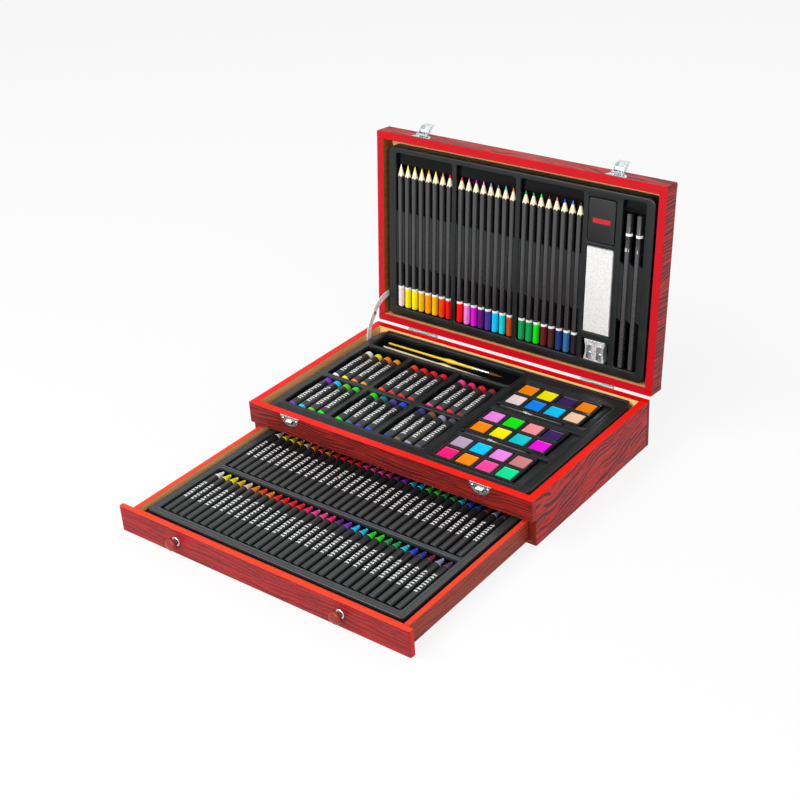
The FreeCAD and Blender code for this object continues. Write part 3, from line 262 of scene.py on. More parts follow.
# A piece of the CAD's own, with softened edges
def finishNode(nodeName, material, soften, segments=2):
    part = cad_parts[nodeName]
    part.data.materials.clear()
    part.data.materials.append(material)
    part.modifiers.new("weld", "WELD").merge_threshold = 0.00001
    soft = part.modifiers.new("soften", "BEVEL")
    soft.width = soften * mm
    soft.segments = segments
    soft.limit_method = "ANGLE"
    soft.angle_limit = math.radians(50)
    part.modifiers.new("even", "WEIGHTED_NORMAL").keep_sharp = False


# Small shader tools

# A value in a shader. Arithmetic on it adds math nodes to the tree that it is in.
class Wire:
    def __init__(self, socket):
        self.socket = socket

    def __add__(self, other):
        return calc("ADD", self, other)

    def __sub__(self, other):
        return calc("SUBTRACT", self, other)

    def __rsub__(self, other):
        return calc("SUBTRACT", other, self)

    def __mul__(self, other):
        return calc("MULTIPLY", self, other)

    def __truediv__(self, other):
        return calc("DIVIDE", self, other)


def feed(socket, value):
    if isinstance(value, Wire):
        socket.id_data.links.new(value.socket, socket)
    else:
        socket.default_value = value


# The inputs are values in the node's own order, or a dictionary by name or place. The node goes to
# the tree of the wires among them, or to the tree given.
def addNode(kind, inputs=(), tree=None, **settings):
    inputs = inputs if isinstance(inputs, dict) else dict(enumerate(inputs))
    tree = tree or next(value.socket.id_data for value in inputs.values() if isinstance(value, Wire))
    made = tree.nodes.new(kind)
    for key, value in settings.items():
        setattr(made, key, value)
    for key, value in inputs.items():
        feed(made.inputs[key], value)
    return made


def fromNode(kind, inputs=(), output=0, **settings):
    return Wire(addNode(kind, inputs, **settings).outputs[output])


def calc(operation, *values):
    return fromNode("ShaderNodeMath", values, operation=operation)


def near(value, middle, reach):
    return calc("LESS_THAN", calc("ABSOLUTE", value - middle), reach)


def remap(value, low, high, toLow=0.0, toHigh=1.0, kind="LINEAR"):
    return fromNode("ShaderNodeMapRange", (value, low, high, toLow, toHigh), interpolation_type=kind)


def smooth(value, low, high):
    return remap(value, low, high, kind="SMOOTHSTEP")


# Noise runs mostly from 0.3 to 0.7, and this takes it to the range from low to high.
def uneven(value, low, high):
    return remap(value, 0.3, 0.7, low, high)


def blend(share, first, second, mode="MIX"):
    return fromNode("ShaderNodeMix", {0: share, 6: first, 7: second}, 2, data_type="RGBA", blend_type=mode)


def mottle(value, low, high, first, second):
    return blend(remap(value, low, high), first, second)


def dimmed(colour, share):
    return blend(1.0, colour, (share, share, share, 1), "MULTIPLY")


def splitVector(vector):
    return [Wire(output) for output in addNode("ShaderNodeSeparateXYZ", (vector,)).outputs]


def joinVector(x, y, z):
    return fromNode("ShaderNodeCombineXYZ", (x, y, z))


def moved(vector, location=(0, 0, 0), rotation=(0, 0, 0), scale=(1, 1, 1), kind="POINT"):
    return fromNode("ShaderNodeMapping", (vector, location, rotation, scale), vector_type=kind)


def cloud(vector, detail=2.0, rough=0.5, scale=1.0):
    inputs = {"Vector": vector, "Scale": scale, "Detail": detail, "Roughness": rough}
    return fromNode("ShaderNodeTexNoise", inputs, "Fac")


# A node group. It takes a vector and numbers, and gives the numbers that build returns for them.
def makeGroup(name, build, vector="Place", **numbers):
    tree = bpy.data.node_groups.new(name, "ShaderNodeTree")
    tree.interface.new_socket(vector, in_out="INPUT", socket_type="NodeSocketVector")
    for label, value in numbers.items():
        socket = tree.interface.new_socket(label, in_out="INPUT", socket_type="NodeSocketFloat")
        socket.default_value = value
    given = addNode("NodeGroupInput", tree=tree).outputs
    results = build(*(Wire(given[label]) for label in (vector, *numbers)))
    for label in results:
        tree.interface.new_socket(label, in_out="OUTPUT", socket_type="NodeSocketFloat")
    addNode("NodeGroupOutput", results)
    return tree


def useGroup(group, **values):
    made = addNode("ShaderNodeGroup", values, node_tree=group)
    return {output.name: Wire(output) for output in made.outputs}


# Rosewood print: dark tapered streaks that sway together along x. All lengths in millimetres.
def buildRosewood(place, swayWidth, slope, spacing, ink):
    x, y, z = splitVector(place)
    drift = cloud(joinVector(x * 0.011, y * 0.008, z * 0.008), 2.0, 0.4)
    sway = x * slope + (drift - 0.5) * swayWidth
    across = (y + sway) / spacing
    deep = (z + sway) / spacing

    def streak(along, crowd, detail):
        return cloud(joinVector(x * along, across * crowd, deep * crowd), detail, 0.55)

    # Long lines that lie side by side: each swells, thins and stops as its own patch of cloud allows.
    wander = streak(0.012, 0.22, 1.5) * 3.4 + (across + deep)
    line = calc("SINE", wander * math.tau)
    swell = remap(streak(0.013, 0.6, 1.5), 0.34, 0.56, 1.1, 0.3 - ink)
    broad = smooth(line - swell, 0.0, 0.25)
    thin = smooth(streak(0.022, 2.4, 2.0) - (ink * -0.2 + 0.66), 0.0, 0.04)
    return {
        "Streaks": calc("MAXIMUM", broad, thin * 0.62),
        "Pores": smooth(streak(0.12, 6.0, 2.0), 0.54, 0.66),
        "Tone": streak(0.01, 0.35, 2.0),
    }


# Fine straight grain along x, for bare wood and for grain that shows through paint
def buildGrain(place, density):
    x, y, z = splitVector(place)
    across, deep = y * density, z * density
    lines = cloud(joinVector(x * 0.035, across, deep), 4.0, 0.62)
    figure = cloud(joinVector(x * 0.02, across * 0.25, deep * 0.25), 2.0)
    return {"Grain": lines * 0.7 + figure * 0.3, "Height": lines, "Patch": figure}


# Skin of formed or moulded plastic: a fine orange peel and patches that are a little duller
def buildSkin(place, peel):
    fine = fromNode("ShaderNodeVectorMath", {0: place, "Scale": peel}, operation="SCALE")
    return {"Height": cloud(fine, 3.0, 0.6), "Haze": cloud(place, 3.0, 0.6, 0.05)}


# Plated or polished metal: hairline scratches along x, dull smears and small dents
def buildMetal(place, scratch):
    x, y, z = splitVector(place)
    hair = cloud(joinVector(x * 0.25, y * scratch, z * scratch), 3.0, 0.7)
    return {
        "Scratches": smooth(hair, 0.56, 0.7), "Smear": cloud(place, scale=0.35),
        "Height": cloud(place, scale=0.5),
    }


# Rows of plain printed ticks on a paper wrap. Spot is (along, turn round the stick, seed).
def buildMarks(spot, start, end, pitch, reach):
    along, turn, seed = splitVector(spot)
    inside = calc("GREATER_THAN", along, start) * calc("LESS_THAN", along, end)
    cell = (along - start) / pitch
    within = calc("FRACT", cell)
    name = {"Vector": joinVector(calc("FLOOR", cell), seed, 0.0)}
    chance = fromNode("ShaderNodeTexWhiteNoise", name, "Color", noise_dimensions="2D")
    one, two, three = splitVector(chance)
    level = turn / reach
    below = calc("LESS_THAN", level, remap(one, 0.0, 1.0, 0.35, 1.0))
    above = calc("GREATER_THAN", level, remap(two, 0.0, 1.0, -1.0, -0.55))
    stroke = near(level * 0.14 + within, 0.36, 0.17) * (below * above)
    bar = near(level, remap(three, 0.0, 1.0, -0.8, 0.6), 0.16) * near(within, 0.5, 0.36)
    return {"Ink": inside * calc("MAXIMUM", stroke, bar)}


rosewoodPrint = makeGroup("rosewoodPrint", buildRosewood, Sway=10.0, Slope=0.0, Spacing=4.0, Ink=0.6)
fineGrain = makeGroup("fineGrain", buildGrain, Density=1.0)
plasticSkin = makeGroup("plasticSkin", buildSkin, Peel=1.2)
metalSkin = makeGroup("metalSkin", buildMetal, Scratch=4.0)
wrapMarks = makeGroup("wrapMarks", buildMarks, "Spot", Start=20.0, End=60.0, Pitch=3.0, Reach=0.5)
print("shader groups made")


def startMaterial(name, colour=(0.5, 0.5, 0.5, 1), metallic=0.0, coat=0.0, coatRoughness=0.1):
    material = bpy.data.materials.new(name)
    material.use_nodes = True
    shader = material.node_tree.nodes["Principled BSDF"]
    shader.inputs["Base Color"].default_value = colour
    shader.inputs["Metallic"].default_value = metallic
    shader.inputs["Coat Weight"].default_value = coat
    shader.inputs["Coat Roughness"].default_value = coatRoughness
    material.diffuse_color = colour
    return material


# The bumps are height times distance, which is in millimetres.
def finishMaterial(material, colour, roughness, height, distance, strength, sheen=0.5):
    shader = material.node_tree.nodes["Principled BSDF"]
    rise = {"Strength": strength, "Distance": distance * mm, "Height": height}
    feed(shader.inputs["Base Color"], colour)
    feed(shader.inputs["Roughness"], roughness)
    feed(shader.inputs["Specular IOR Level"], sheen)
    feed(shader.inputs["Normal"], fromNode("ShaderNodeBump", rise))
    return material


# A point, in metres, or a direction in the frame that the piece was drawn in
def drawnVector(material, output, body, kind):
    vector = fromNode("ShaderNodeTexCoord", output=output, tree=material.node_tree)
    if body == "case":
        return vector
    back = bodyPlaces[body].inverted()
    return moved(vector, tuple(back.translation), tuple(back.to_euler()), kind=kind)


# A point in that frame, in millimetres
def drawnPlace(material, body="case"):
    return moved(drawnVector(material, "Object", body, "POINT"), scale=(1 / mm, 1 / mm, 1 / mm))


def startSkinned(name, peel, **look):
    material = startMaterial(name, **look)
    place = drawnPlace(material)
    return material, place, useGroup(plasticSkin, Place=place, Peel=peel)


def attribute(material, name, output="Color"):
    return fromNode(
        "ShaderNodeAttribute", output=output, tree=material.node_tree, attribute_type="GEOMETRY",
        attribute_name=name
    )


# Boards: printed foil outside, paint on the rims and bare wood inside, except where the inside colour is
# painted shade

boards = {
    "print": (paint(184, 26, 28), paint(204, 40, 38), paint(48, 24, 28)),
    "railPrint": (paint(140, 30, 26), paint(160, 38, 32), paint(60, 22, 22)),
    "drawerPrint": (paint(150, 30, 30), paint(164, 38, 38), paint(100, 28, 34)),
    "stain": (paint(146, 48, 34), paint(162, 66, 50), paint(122, 42, 32)),
    "ply": (paint(186, 138, 88), paint(206, 160, 104), paint(150, 104, 60)),
    "rim": paint(246, 26, 12), "backRim": paint(226, 2, 2), "lidRim": paint(192, 8, 26),
    "drawerRim": paint(244, 66, 36), "bareEnd": paint(118, 30, 20), "railEnd": paint(158, 40, 44),
    "drawerEnd": paint(206, 32, 16), "tan": (paint(255, 202, 138), paint(230, 162, 100)),
    "lidTan": (paint(236, 184, 124), paint(196, 138, 80)),
    "cream": (paint(255, 222, 148), paint(236, 190, 112)),
    # shaded is painted shade: a near-black brown for the lid's inner faces that lie in deep shade.
    "shaded": (paint(22, 16, 10), paint(12, 9, 7)), "brown": (paint(158, 108, 48), paint(122, 80, 34)),
    "bevel": 0.45, "bareHalfWidth": 175.8,
    "grainTurns": {"x": (0, 0, 0), "y": (0, 0, math.pi / 2), "z": (0, math.pi / 2, 0)},
}


def boardMaterial(name, outward, along, body="case", outside=boards["print"], rim=boards["rim"],
                  inside=boards["tan"], end=boards["bareEnd"], sway=12.0, slope=0.0, spacing=4.5, ink=0.6,
                  shift=0.0):
    material = startMaterial(name)
    place = drawnPlace(material, body)
    normal = drawnVector(material, "Normal", body, "VECTOR")
    grainPlace = moved(place, (shift, shift, shift), boards["grainTurns"][along])

    def facing(direction, low=0.6, high=0.75):
        cosine = fromNode("ShaderNodeVectorMath", (normal, direction), "Value", operation="DOT_PRODUCT")
        return remap(cosine, low, high)

    foilPrint = useGroup(rosewoodPrint, Place=grainPlace, Sway=sway, Slope=slope, Spacing=spacing, Ink=ink)
    grain = useGroup(fineGrain, Place=grainPlace, Density=0.9)
    light, lighter, dark = outside
    foil = blend(foilPrint["Tone"], light, lighter)
    foil = blend(foilPrint["Pores"] * 0.55, foil, dark)
    foil = blend(foilPrint["Streaks"] * 0.88, foil, dark)
    colour = blend(grain["Grain"], end, toned(end, 0.72))
    colour = blend(facing(outward), colour, foil)
    inward = tuple(-part for part in outward)
    insideFaces = facing(inward, 0.85, 0.95)
    if along == "x":  # the ends of the long boards are painted round the corner
        insideFaces = insideFaces * calc("LESS_THAN", calc("ABSOLUTE", splitVector(place)[0]), boards["bareHalfWidth"])
    colour = blend(insideFaces, colour, mottle(grain["Grain"], 0.35, 0.7, *inside))
    colour = blend(facing(up), colour, mottle(grain["Grain"], 0.42, 0.72, rim, toned(rim, 0.8)))
    roughness = uneven(grain["Patch"], 0.36, 0.5) + facing(inward) * 0.25
    height = grain["Height"] - foilPrint["Streaks"] * 0.35
    return finishMaterial(material, colour, roughness, height, 0.05, 0.6, sheen=0.16)


sidePanel = dict(along="y", sway=44, spacing=7.8, ink=0.4)
plain = dict(outward=down, along="x", outside=boards["ply"], rim=boards["tan"][0], ink=0.3)
drawerBox = dict(
    body="drawer", outside=boards["stain"], rim=boards["drawerRim"], end=boards["stain"][0], sway=10,
    spacing=5.5, ink=0.12,
)
lidEdge = dict(body="lid", rim=boards["lidRim"], end=boards["railPrint"][0])
lidLong = dict(lidEdge, along="x", sway=30, spacing=7.0)
lidShort = dict(lidEdge, along="z", sway=6, spacing=4.2)
for nodeName, look in {
    "right_side_panel": dict(sidePanel, outward=right, slope=0.12, shift=31),
    "left_side_panel": dict(sidePanel, outward=left, slope=-0.12, shift=77),
    "back_panel": dict(
        outward=rear, along="x", rim=boards["backRim"], inside=boards["cream"], sway=30, spacing=7.4,
        ink=0.42, shift=140,
    ),
    "front_rail": dict(
        outward=front, along="x", outside=boards["railPrint"], end=boards["railEnd"], sway=10, spacing=3.2,
        ink=0.66, shift=11,
    ),
    "drawer_front": dict(
        body="drawer", outward=front, along="x", outside=boards["drawerPrint"], rim=boards["drawerRim"],
        end=boards["drawerEnd"], sway=12, spacing=3.8, ink=0.5, shift=52,
    ),
    "bottom_board": dict(plain, shift=5),
    "tray_shelf": dict(plain, shift=9),
    "drawer_bottom": dict(plain, body="drawer", shift=15),
    "drawer_left_side": dict(drawerBox, outward=left, along="y", shift=21),
    "drawer_right_side": dict(drawerBox, outward=right, along="y", shift=63),
    "drawer_box_front": dict(drawerBox, outward=front, along="x", shift=12),
    "drawer_back": dict(drawerBox, outward=rear, along="x", shift=43),
    "lid_front_board": dict(lidLong, outward=rear, inside=boards["shaded"], ink=0.5, shift=33),
    "lid_back_board": dict(lidLong, outward=front, inside=boards["lidTan"], ink=0.45, shift=90),
    "lid_left_board": dict(lidShort, outward=left, inside=boards["brown"], ink=0.7, shift=18),
    "lid_right_board": dict(lidShort, outward=right, inside=boards["shaded"], ink=0.72, shift=66),
    "lid_panel": dict(
        body="lid", outward=down, along="x", rim=boards["tan"][0], inside=boards["shaded"], sway=30,
        spacing=7.4, ink=0.4, shift=200,
    ),
}.items():
    finishNode(nodeName, boardMaterial(nodeName, **look), boards["bevel"])
print("boards finished")


# Formed trays

trays = {
    # pit is the painted shade colour deep in the cups.
    "pit": paint(8, 8, 9), "ridge": 2.2, "draft": 0.45, "fillet": 1.2, "raisedLip": 0.6,
    "roundEdge": ((1, 0), (0.62, 0.08), (0.29, 0.29), (0.08, 0.62), (0, 1)),
}


# Painted shade: the cups darken between two depths below the tray's top, towards a near-black colour, and
# lose most of their sheen there.
def trayMaterial(name, tray):
    material, place, skin = startSkinned(name, 1.1)
    pit = remap(tray["z"][1] - splitVector(place)[2], *tray["cupShadeDepths"])
    face, sheen = tray["face"], tray["sheen"]
    return finishMaterial(
        material, blend(pit, mottle(skin["Haze"], 0.3, 0.7, face, toned(face, 1.25)), trays["pit"]),
        uneven(skin["Haze"], 0.27, 0.42) - pit * 0.14, skin["Height"], 0.06, 0.7,
        pit * (-0.75 * sheen) + sheen
    )


# A cup is (x span, y span, floor height, corner radius, lip, bulge). A tray's skirt is a lower step
# round its top: (x span, y span, height). Its bead is how far the lips of the larger cups rise.
def formedTray(tray, cups):
    bm = startMesh()
    xs, ys, (low, high), shoulder = tray["x"], tray["y"], tray["z"], tray["shoulder"]
    stepX, stepY, stepZ = tray.get("skirt", (xs, ys, low + 1.0))
    edge = [(-shoulder * inward, high - shoulder * fall) for inward, fall in trays["roundEdge"]]
    rings = addRings(bm, profileRings(xs, ys, tray["radius"], edge + [(0, stepZ + 0.4)]) + profileRings(
        stepX, stepY, tray["radius"], ((-0.4, stepZ), (0, stepZ - 0.4), (0, low))
    ))
    bridge(bm, rings)
    borders = ringEdges(bm, rings[0])
    for cupX, cupY, floor, cornerRadius, lip, bulge in cups:
        fillet = min(trays["fillet"], (high - floor) * 0.25)
        rise = tray.get("bead", 0.0) if lip > trays["raisedLip"] else 0.0
        profile = [
            (lip + 1.5, high), (lip + 1.3, high + rise * 0.7), (lip + 0.9, high + rise),
            (lip + 0.4, high + rise * 0.9),
        ] if rise else []
        foot = -trays["draft"]
        profile += [
            (lip, high + rise * 0.3), (lip * 0.5, high - lip * 0.13), (lip * 0.13, high - lip * 0.5),
            (0, high - lip), (foot, floor + fillet), (foot - fillet * 0.3, floor + fillet * 0.3),
            (foot - fillet, floor),
        ]
        borders += addCup(bm, profileRings(cupX, cupY, cornerRadius, profile, bulge=bulge))
    fillTop(bm, borders)
    flat = [face for face in bm.faces if abs(face.normal.z) > 0.99]
    if max(flat, key=lambda face: face.calc_center_median().z).normal.z < 0:
        bmesh.ops.reverse_faces(bm, faces=bm.faces[:])
    return bm


# A raised line that follows a rectangle with round corners
def addBead(bm, xs, ys, zs, radius, width):
    low, high = zs
    rings = addRings(bm, profileRings(xs, ys, radius, (
        (-width / 2, low), (-width / 2, high - 0.2), (-width / 4, high), (width / 4, high),
        (width / 2, high - 0.2), (width / 2, low),
    )))
    bridge(bm, rings + rings[:1])


# Low ridges on a cup's floor, between the sticks
def addFloorRidges(bm, places, ys, floor):
    ridge = trays["ridge"]
    for place, following in zip(places, places[1:]):
        addSolid(bm, [
            cornerRing(
                about((place + following) / 2, 2 * half), grown(ys, -1.6 - (z - floor) * 0.5), z,
                min(0.15, half * 0.5), 2
            ) for half, z in ((1.1, floor - 0.3), (0.5, floor + ridge - 0.3), (0.2, floor + ridge))
        ])


# Base tray
baseTray = {
    "x": (-168.0, 170.4), "y": (-105.8, 105.8), "z": (34.3, 52.0), "radius": 12.0, "shoulder": 1.6,
    "bead": 0.4, "skirt": ((-168.0, 173.5), (-105.8, 105.8), 48.6),
    "face": paint(20, 24, 25), "cupShadeDepths": (1.6, 7.0), "sheen": 0.34,
    "pastelX": ((-156.75, -99.25), (-90.75, -33.25), (-24.75, 32.75)), "pastelPitch": 13.6,
    "pastelY": ((-88.0, -20.0), (-13.0, 64.5)), "pastelFloor": 40.7, "bulge": (2, 10.0, 1.2),
    "trough": ((-156.75, 35.75), (69.0, 101.0), 43.0),
    "paletteX": (45.35, 157.25), "paletteY": ((-94.6, -40.9), (-33.9, 19.9), (33.3, 87.1)),
    "paletteFloor": 46.7,
    "slotX": (46.25, 132.25), "slotY": ((-39.9, -35.1), (26.5, 32.1)), "slotFloor": 48.4,
    "recessPad": ((147.4, 156.0), (46.0, 49.9)), "backBar": ((-160.0, 166.0), (101.9, 105.2), (51.6, 53.6)),
    "beads": (
        ((42.4, 160.4), (-97.6, 90.2), (51.7, 52.6), 4.0, 1.0),
        ((-160.2, 39.0), (66.2, 103.4), (51.7, 52.4), 4.0, 0.8),
    ),
    "ribs": ((-160.0, 167.0), rowPlaces(-103.4, 1.65, 7), 0.6), "raised": (51.8, 52.3),
    "slotPad": ((134.6, 156.0), (-0.2, 5.4)),
}
bulgeShift, bulgeHalf, bulgeReach = baseTray["bulge"]
cups = [
    (xs, ys, baseTray["pastelFloor"], 2.6, 0.8, (sum(ys) / 2 + bulgeShift, bulgeHalf, bulgeReach))
    for xs in baseTray["pastelX"] for ys in baseTray["pastelY"]
]
cups.append(baseTray["trough"] + (3.0, 0.8, None))
cups += [(baseTray["paletteX"], ys, baseTray["paletteFloor"], 3.2, 0.4, None) for ys in baseTray["paletteY"]]
cups += [(baseTray["slotX"], ys, baseTray["slotFloor"], 1.6, 0.35, None) for ys in baseTray["slotY"]]
bm = formedTray(baseTray, cups)
pitch = baseTray["pastelPitch"]
pastelPlaces = [rowPlaces(sum(xs) / 2 - 1.5 * pitch, pitch, 4) for xs in baseTray["pastelX"]]
for places in pastelPlaces:
    for ys in baseTray["pastelY"]:
        addFloorRidges(bm, places, ys, baseTray["pastelFloor"])
for ys in baseTray["paletteY"]:  # a raised pad at the right end of each palette's pocket
    addSoftBlock(bm, baseTray["recessPad"][0], grown(ys, -2.2), baseTray["recessPad"][1], 2.2, 0.3)
addSoftBlock(bm, *baseTray["backBar"], 1.2, 0.7)
for bead in baseTray["beads"]:
    addBead(bm, *bead)
ribX, ribPlaces, ribWidth = baseTray["ribs"]
for y in ribPlaces:  # fine ribs along the front band
    addSoftBlock(bm, ribX, about(y, ribWidth), baseTray["raised"], 0.28, 0.18, steps=1)
padX, (padStart, padEnd) = baseTray["slotPad"]
for slotY in baseTray["slotY"]:
    padY = (slotY[0] + padStart, slotY[0] + padEnd)
    addSoftBlock(bm, padX, padY, baseTray["raised"], 1.6, 0.25, steps=3)
makePiece("baseTray", bm, [trayMaterial("baseTrayPlastic", baseTray)], "case", "base_tray")

# Drawer tray
drawerTray = {
    "x": (-163.6, 163.6), "y": (-98.0, 99.2), "z": (7.8, 24.5), "radius": 4.0, "shoulder": 1.4,
    "skirt": ((-169.2, 169.2), (-103.7, 99.2), 19.6),
    "face": paint(47, 52, 54), "cupShadeDepths": (0.8, 5.0), "sheen": 0.5,
    "pocketX": (-154.98, 154.98), "pocketY": ((-89.3, 1.0), (6.0, 96.3)), "floor": 16.2,
    "crayons": (-148.48, 10.24, 30), "raised": (24.2, 25.0),
    "frontBeads": ((-161.5, 161.5), (-95.8, -92.2), 1.5), "middleBar": ((2.3, 4.7), (24.0, 25.4)),
    "sideBeads": ((-161.4, 161.4, -157.8, 157.8), (-90.8, 97.0), 1.4),
}
crayonPlaces = rowPlaces(*drawerTray["crayons"])
bm = formedTray(drawerTray, [
    (drawerTray["pocketX"], ys, drawerTray["floor"], 3.0, 0.7, None) for ys in drawerTray["pocketY"]
])
for ys in drawerTray["pocketY"]:
    addFloorRidges(bm, crayonPlaces, ys, drawerTray["floor"])
beadX, beadPlaces, beadWidth = drawerTray["frontBeads"]
for y in beadPlaces:
    addSoftBlock(bm, beadX, about(y, beadWidth), drawerTray["raised"], 0.7, 0.5)
addSoftBlock(bm, grown(drawerTray["pocketX"], 0.5), *drawerTray["middleBar"], 1.1, 0.8)
beadPlaces, beadY, beadWidth = drawerTray["sideBeads"]
for x in beadPlaces:
    addSoftBlock(bm, about(x, beadWidth), beadY, drawerTray["raised"], 0.6, 0.5)
drawerPlastic = trayMaterial("drawerTrayPlastic", drawerTray)
makePiece("drawerTray", bm, [drawerPlastic], "drawer", "drawer_tray")

# Lid tray
lidTray = {
    "x": (-172.0, 172.0), "y": (9.5, 215.5), "z": (-17.7, -3.0), "radius": 8.0, "shoulder": 2.0,
    "face": paint(16, 20, 21), "cupShadeDepths": (1.4, 4.6), "sheen": 0.36,
    "pencilX": ((-160.3, -81.42), (-75.62, 3.27), (9.07, 87.95)), "pencilY": (20.5, 209.0), "floor": -14.0,
    "firstPencils": (-155.16, -70.48, 14.21), "pencilPitch": 9.8,
    "sketchX": (134.45, 161.45), "sketchPlaces": [141.95, 153.95],
    "toolX": (93.95, 127.45), "toolY": ((20.5, 46.1), (53.1, 151.7), (156.0, 205.6)), "toolFloor": -12.5,
    "ledgeY": (195.4, 209.6), "ledgeZ": (-14.2, -7.2), "combY": (75.6, 141.6),
    "grooves": ((-11.0, 2.4), (-6.75, 4.35), (-4.5, 3.12), (-4.0, 3.05), (-3.84, 3.35)),
}
pockets = [(xs, lidTray["pencilY"], lidTray["floor"], 3.0, 0.9, None) for xs in lidTray["pencilX"]]
pockets += [(lidTray["toolX"], ys, lidTray["toolFloor"], 2.6, 0.7, None) for ys in lidTray["toolY"]]
pockets.append((lidTray["sketchX"], lidTray["pencilY"], lidTray["floor"], 3.0, 0.9, None))
bm = formedTray(lidTray, pockets)
pencilPlaces = [rowPlaces(first, lidTray["pencilPitch"], 8) for first in lidTray["firstPencils"]]


# A flute stands between two grooves cut to the pencils' six sides, its ends cut at a slant.
def addFlute(bm, leftPencil, rightPencil, walls):
    levels = lidTray["grooves"]
    outline = [(walls[0] if leftPencil is None else leftPencil + reach, z) for z, reach in levels]
    outline += [
        (walls[1] if rightPencil is None else rightPencil - reach, z) for z, reach in reversed(levels)
    ]
    middle = (outline[2][0] + outline[-3][0]) / 2
    low = levels[0][0]
    addSolid(bm, [
        [Vector((x, y + inward * (z - low) * 0.2 - (x - middle) * 0.75, z)) for x, z in outline]
        for y, inward in zip(lidTray["combY"], (1, -1))
    ])


for xs, places in zip(lidTray["pencilX"] + (lidTray["sketchX"],), pencilPlaces + [lidTray["sketchPlaces"]]):
    addSoftBlock(bm, grown(xs, 0.2), lidTray["ledgeY"], lidTray["ledgeZ"], 2.6, 0.8)
    for leftPencil, rightPencil in zip([None] + places, places + [None]):
        addFlute(bm, leftPencil, rightPencil, grown(xs, 0.3))
makePiece("lidTray", bm, [trayMaterial("lidTrayPlastic", lidTray)], "lid", "lid_tray")
print("trays formed")


# Coloured pencils: six flats with one facing out of the tray, a dipped cap, a sharpened end

pencil = {
    "height": -6.75, "foot": 21.5, "ringStart": 45.2, "capEnd": 48.0, "shoulder": 181.0, "leadStart": 191.36,
    "tip": 196.0, "corner": 4.04, "body": paint(32, 32, 34), "ring": paint(238, 238, 236),
    "wood": (paint(252, 238, 210), paint(232, 204, 160)),
    "caps": (
        ("palePink", "yellow", "yellow", "gold", "amber", "gold", "orangeRed", "red"),
        ("red", "orchid", "magenta", "purple", "indigo", "skyBlue", "cyan", "burntOrange"),
        ("green", "green", "brightGreen", "maroon", "darkBrown", "navy", "steelBlue", "aubergine"),
    ),
    "leads": (
        ("white", "yellow", "yellow", "yellow", "amber", "yellow", "orange", "red"),
        ("red", "orchid", "magenta", "orchid", "lilac", "teal", "cyan", "orange"),
        ("green", "green", "brightGreen", "maroon", "roseBrown", "blue", "brightBlue", "charcoal"),
    ),
}
hexAngles = [math.radians(60 * flat + step) for flat in range(6) for step in (4, 17, 30, 43, 56)]


def hexShare(angle):
    within = math.degrees(angle) % 60 - 30
    return min(math.cos(math.radians(30)) / math.cos(math.radians(within)), 0.985)


def flats(corner, hexness=1.0):
    return lambda angle: (corner * (1 - hexness + hexness * hexShare(angle)), 0)


# The sharpened edge of the paint runs further down the flats than down the corners.
def scallop(corner, slope):
    def reach(angle):
        radius = corner * hexShare(angle)
        return radius, -(radius - corner) / slope
    return reach


# Painted light: the flat that faces out of the tray gets a painted highlight, a lighter tint, and the other
# flats get painted shade, a darker tint.
def paintFlatLight(bm, faces, colour, bright=1.9, paintedShade=0.5):
    for face in faces:
        if face.material_index == 0:
            paintFaces(bm, [face], toned(colour, bright if face.normal.z > 0.94 else paintedShade))


def paintedMaterial(name, roughness, coat, sheen=0.5, peel=0.8, depth=0.02):
    material, place, skin = startSkinned(name, peel, coat=coat, coatRoughness=0.16)
    tint = attribute(material, "tint")
    return finishMaterial(
        material, mottle(skin["Haze"], 0.35, 0.75, tint, dimmed(tint, 0.8)),
        uneven(skin["Height"], roughness * 0.8, roughness * 1.3), skin["Height"], depth, 0.5, sheen
    )


# The grain's two colours run into each other over a span of its noise.
def grainedMaterial(name, pair, density, span, dull, depth, strength, sheen=0.5, turn=0.0):
    material = startMaterial(name)
    place = moved(drawnPlace(material), rotation=(0, 0, turn))
    grain = useGroup(fineGrain, Place=place, Density=density)
    return finishMaterial(
        material, mottle(grain["Grain"], *span, *pair), uneven(grain["Patch"], *dull), grain["Height"],
        depth, strength, sheen
    )


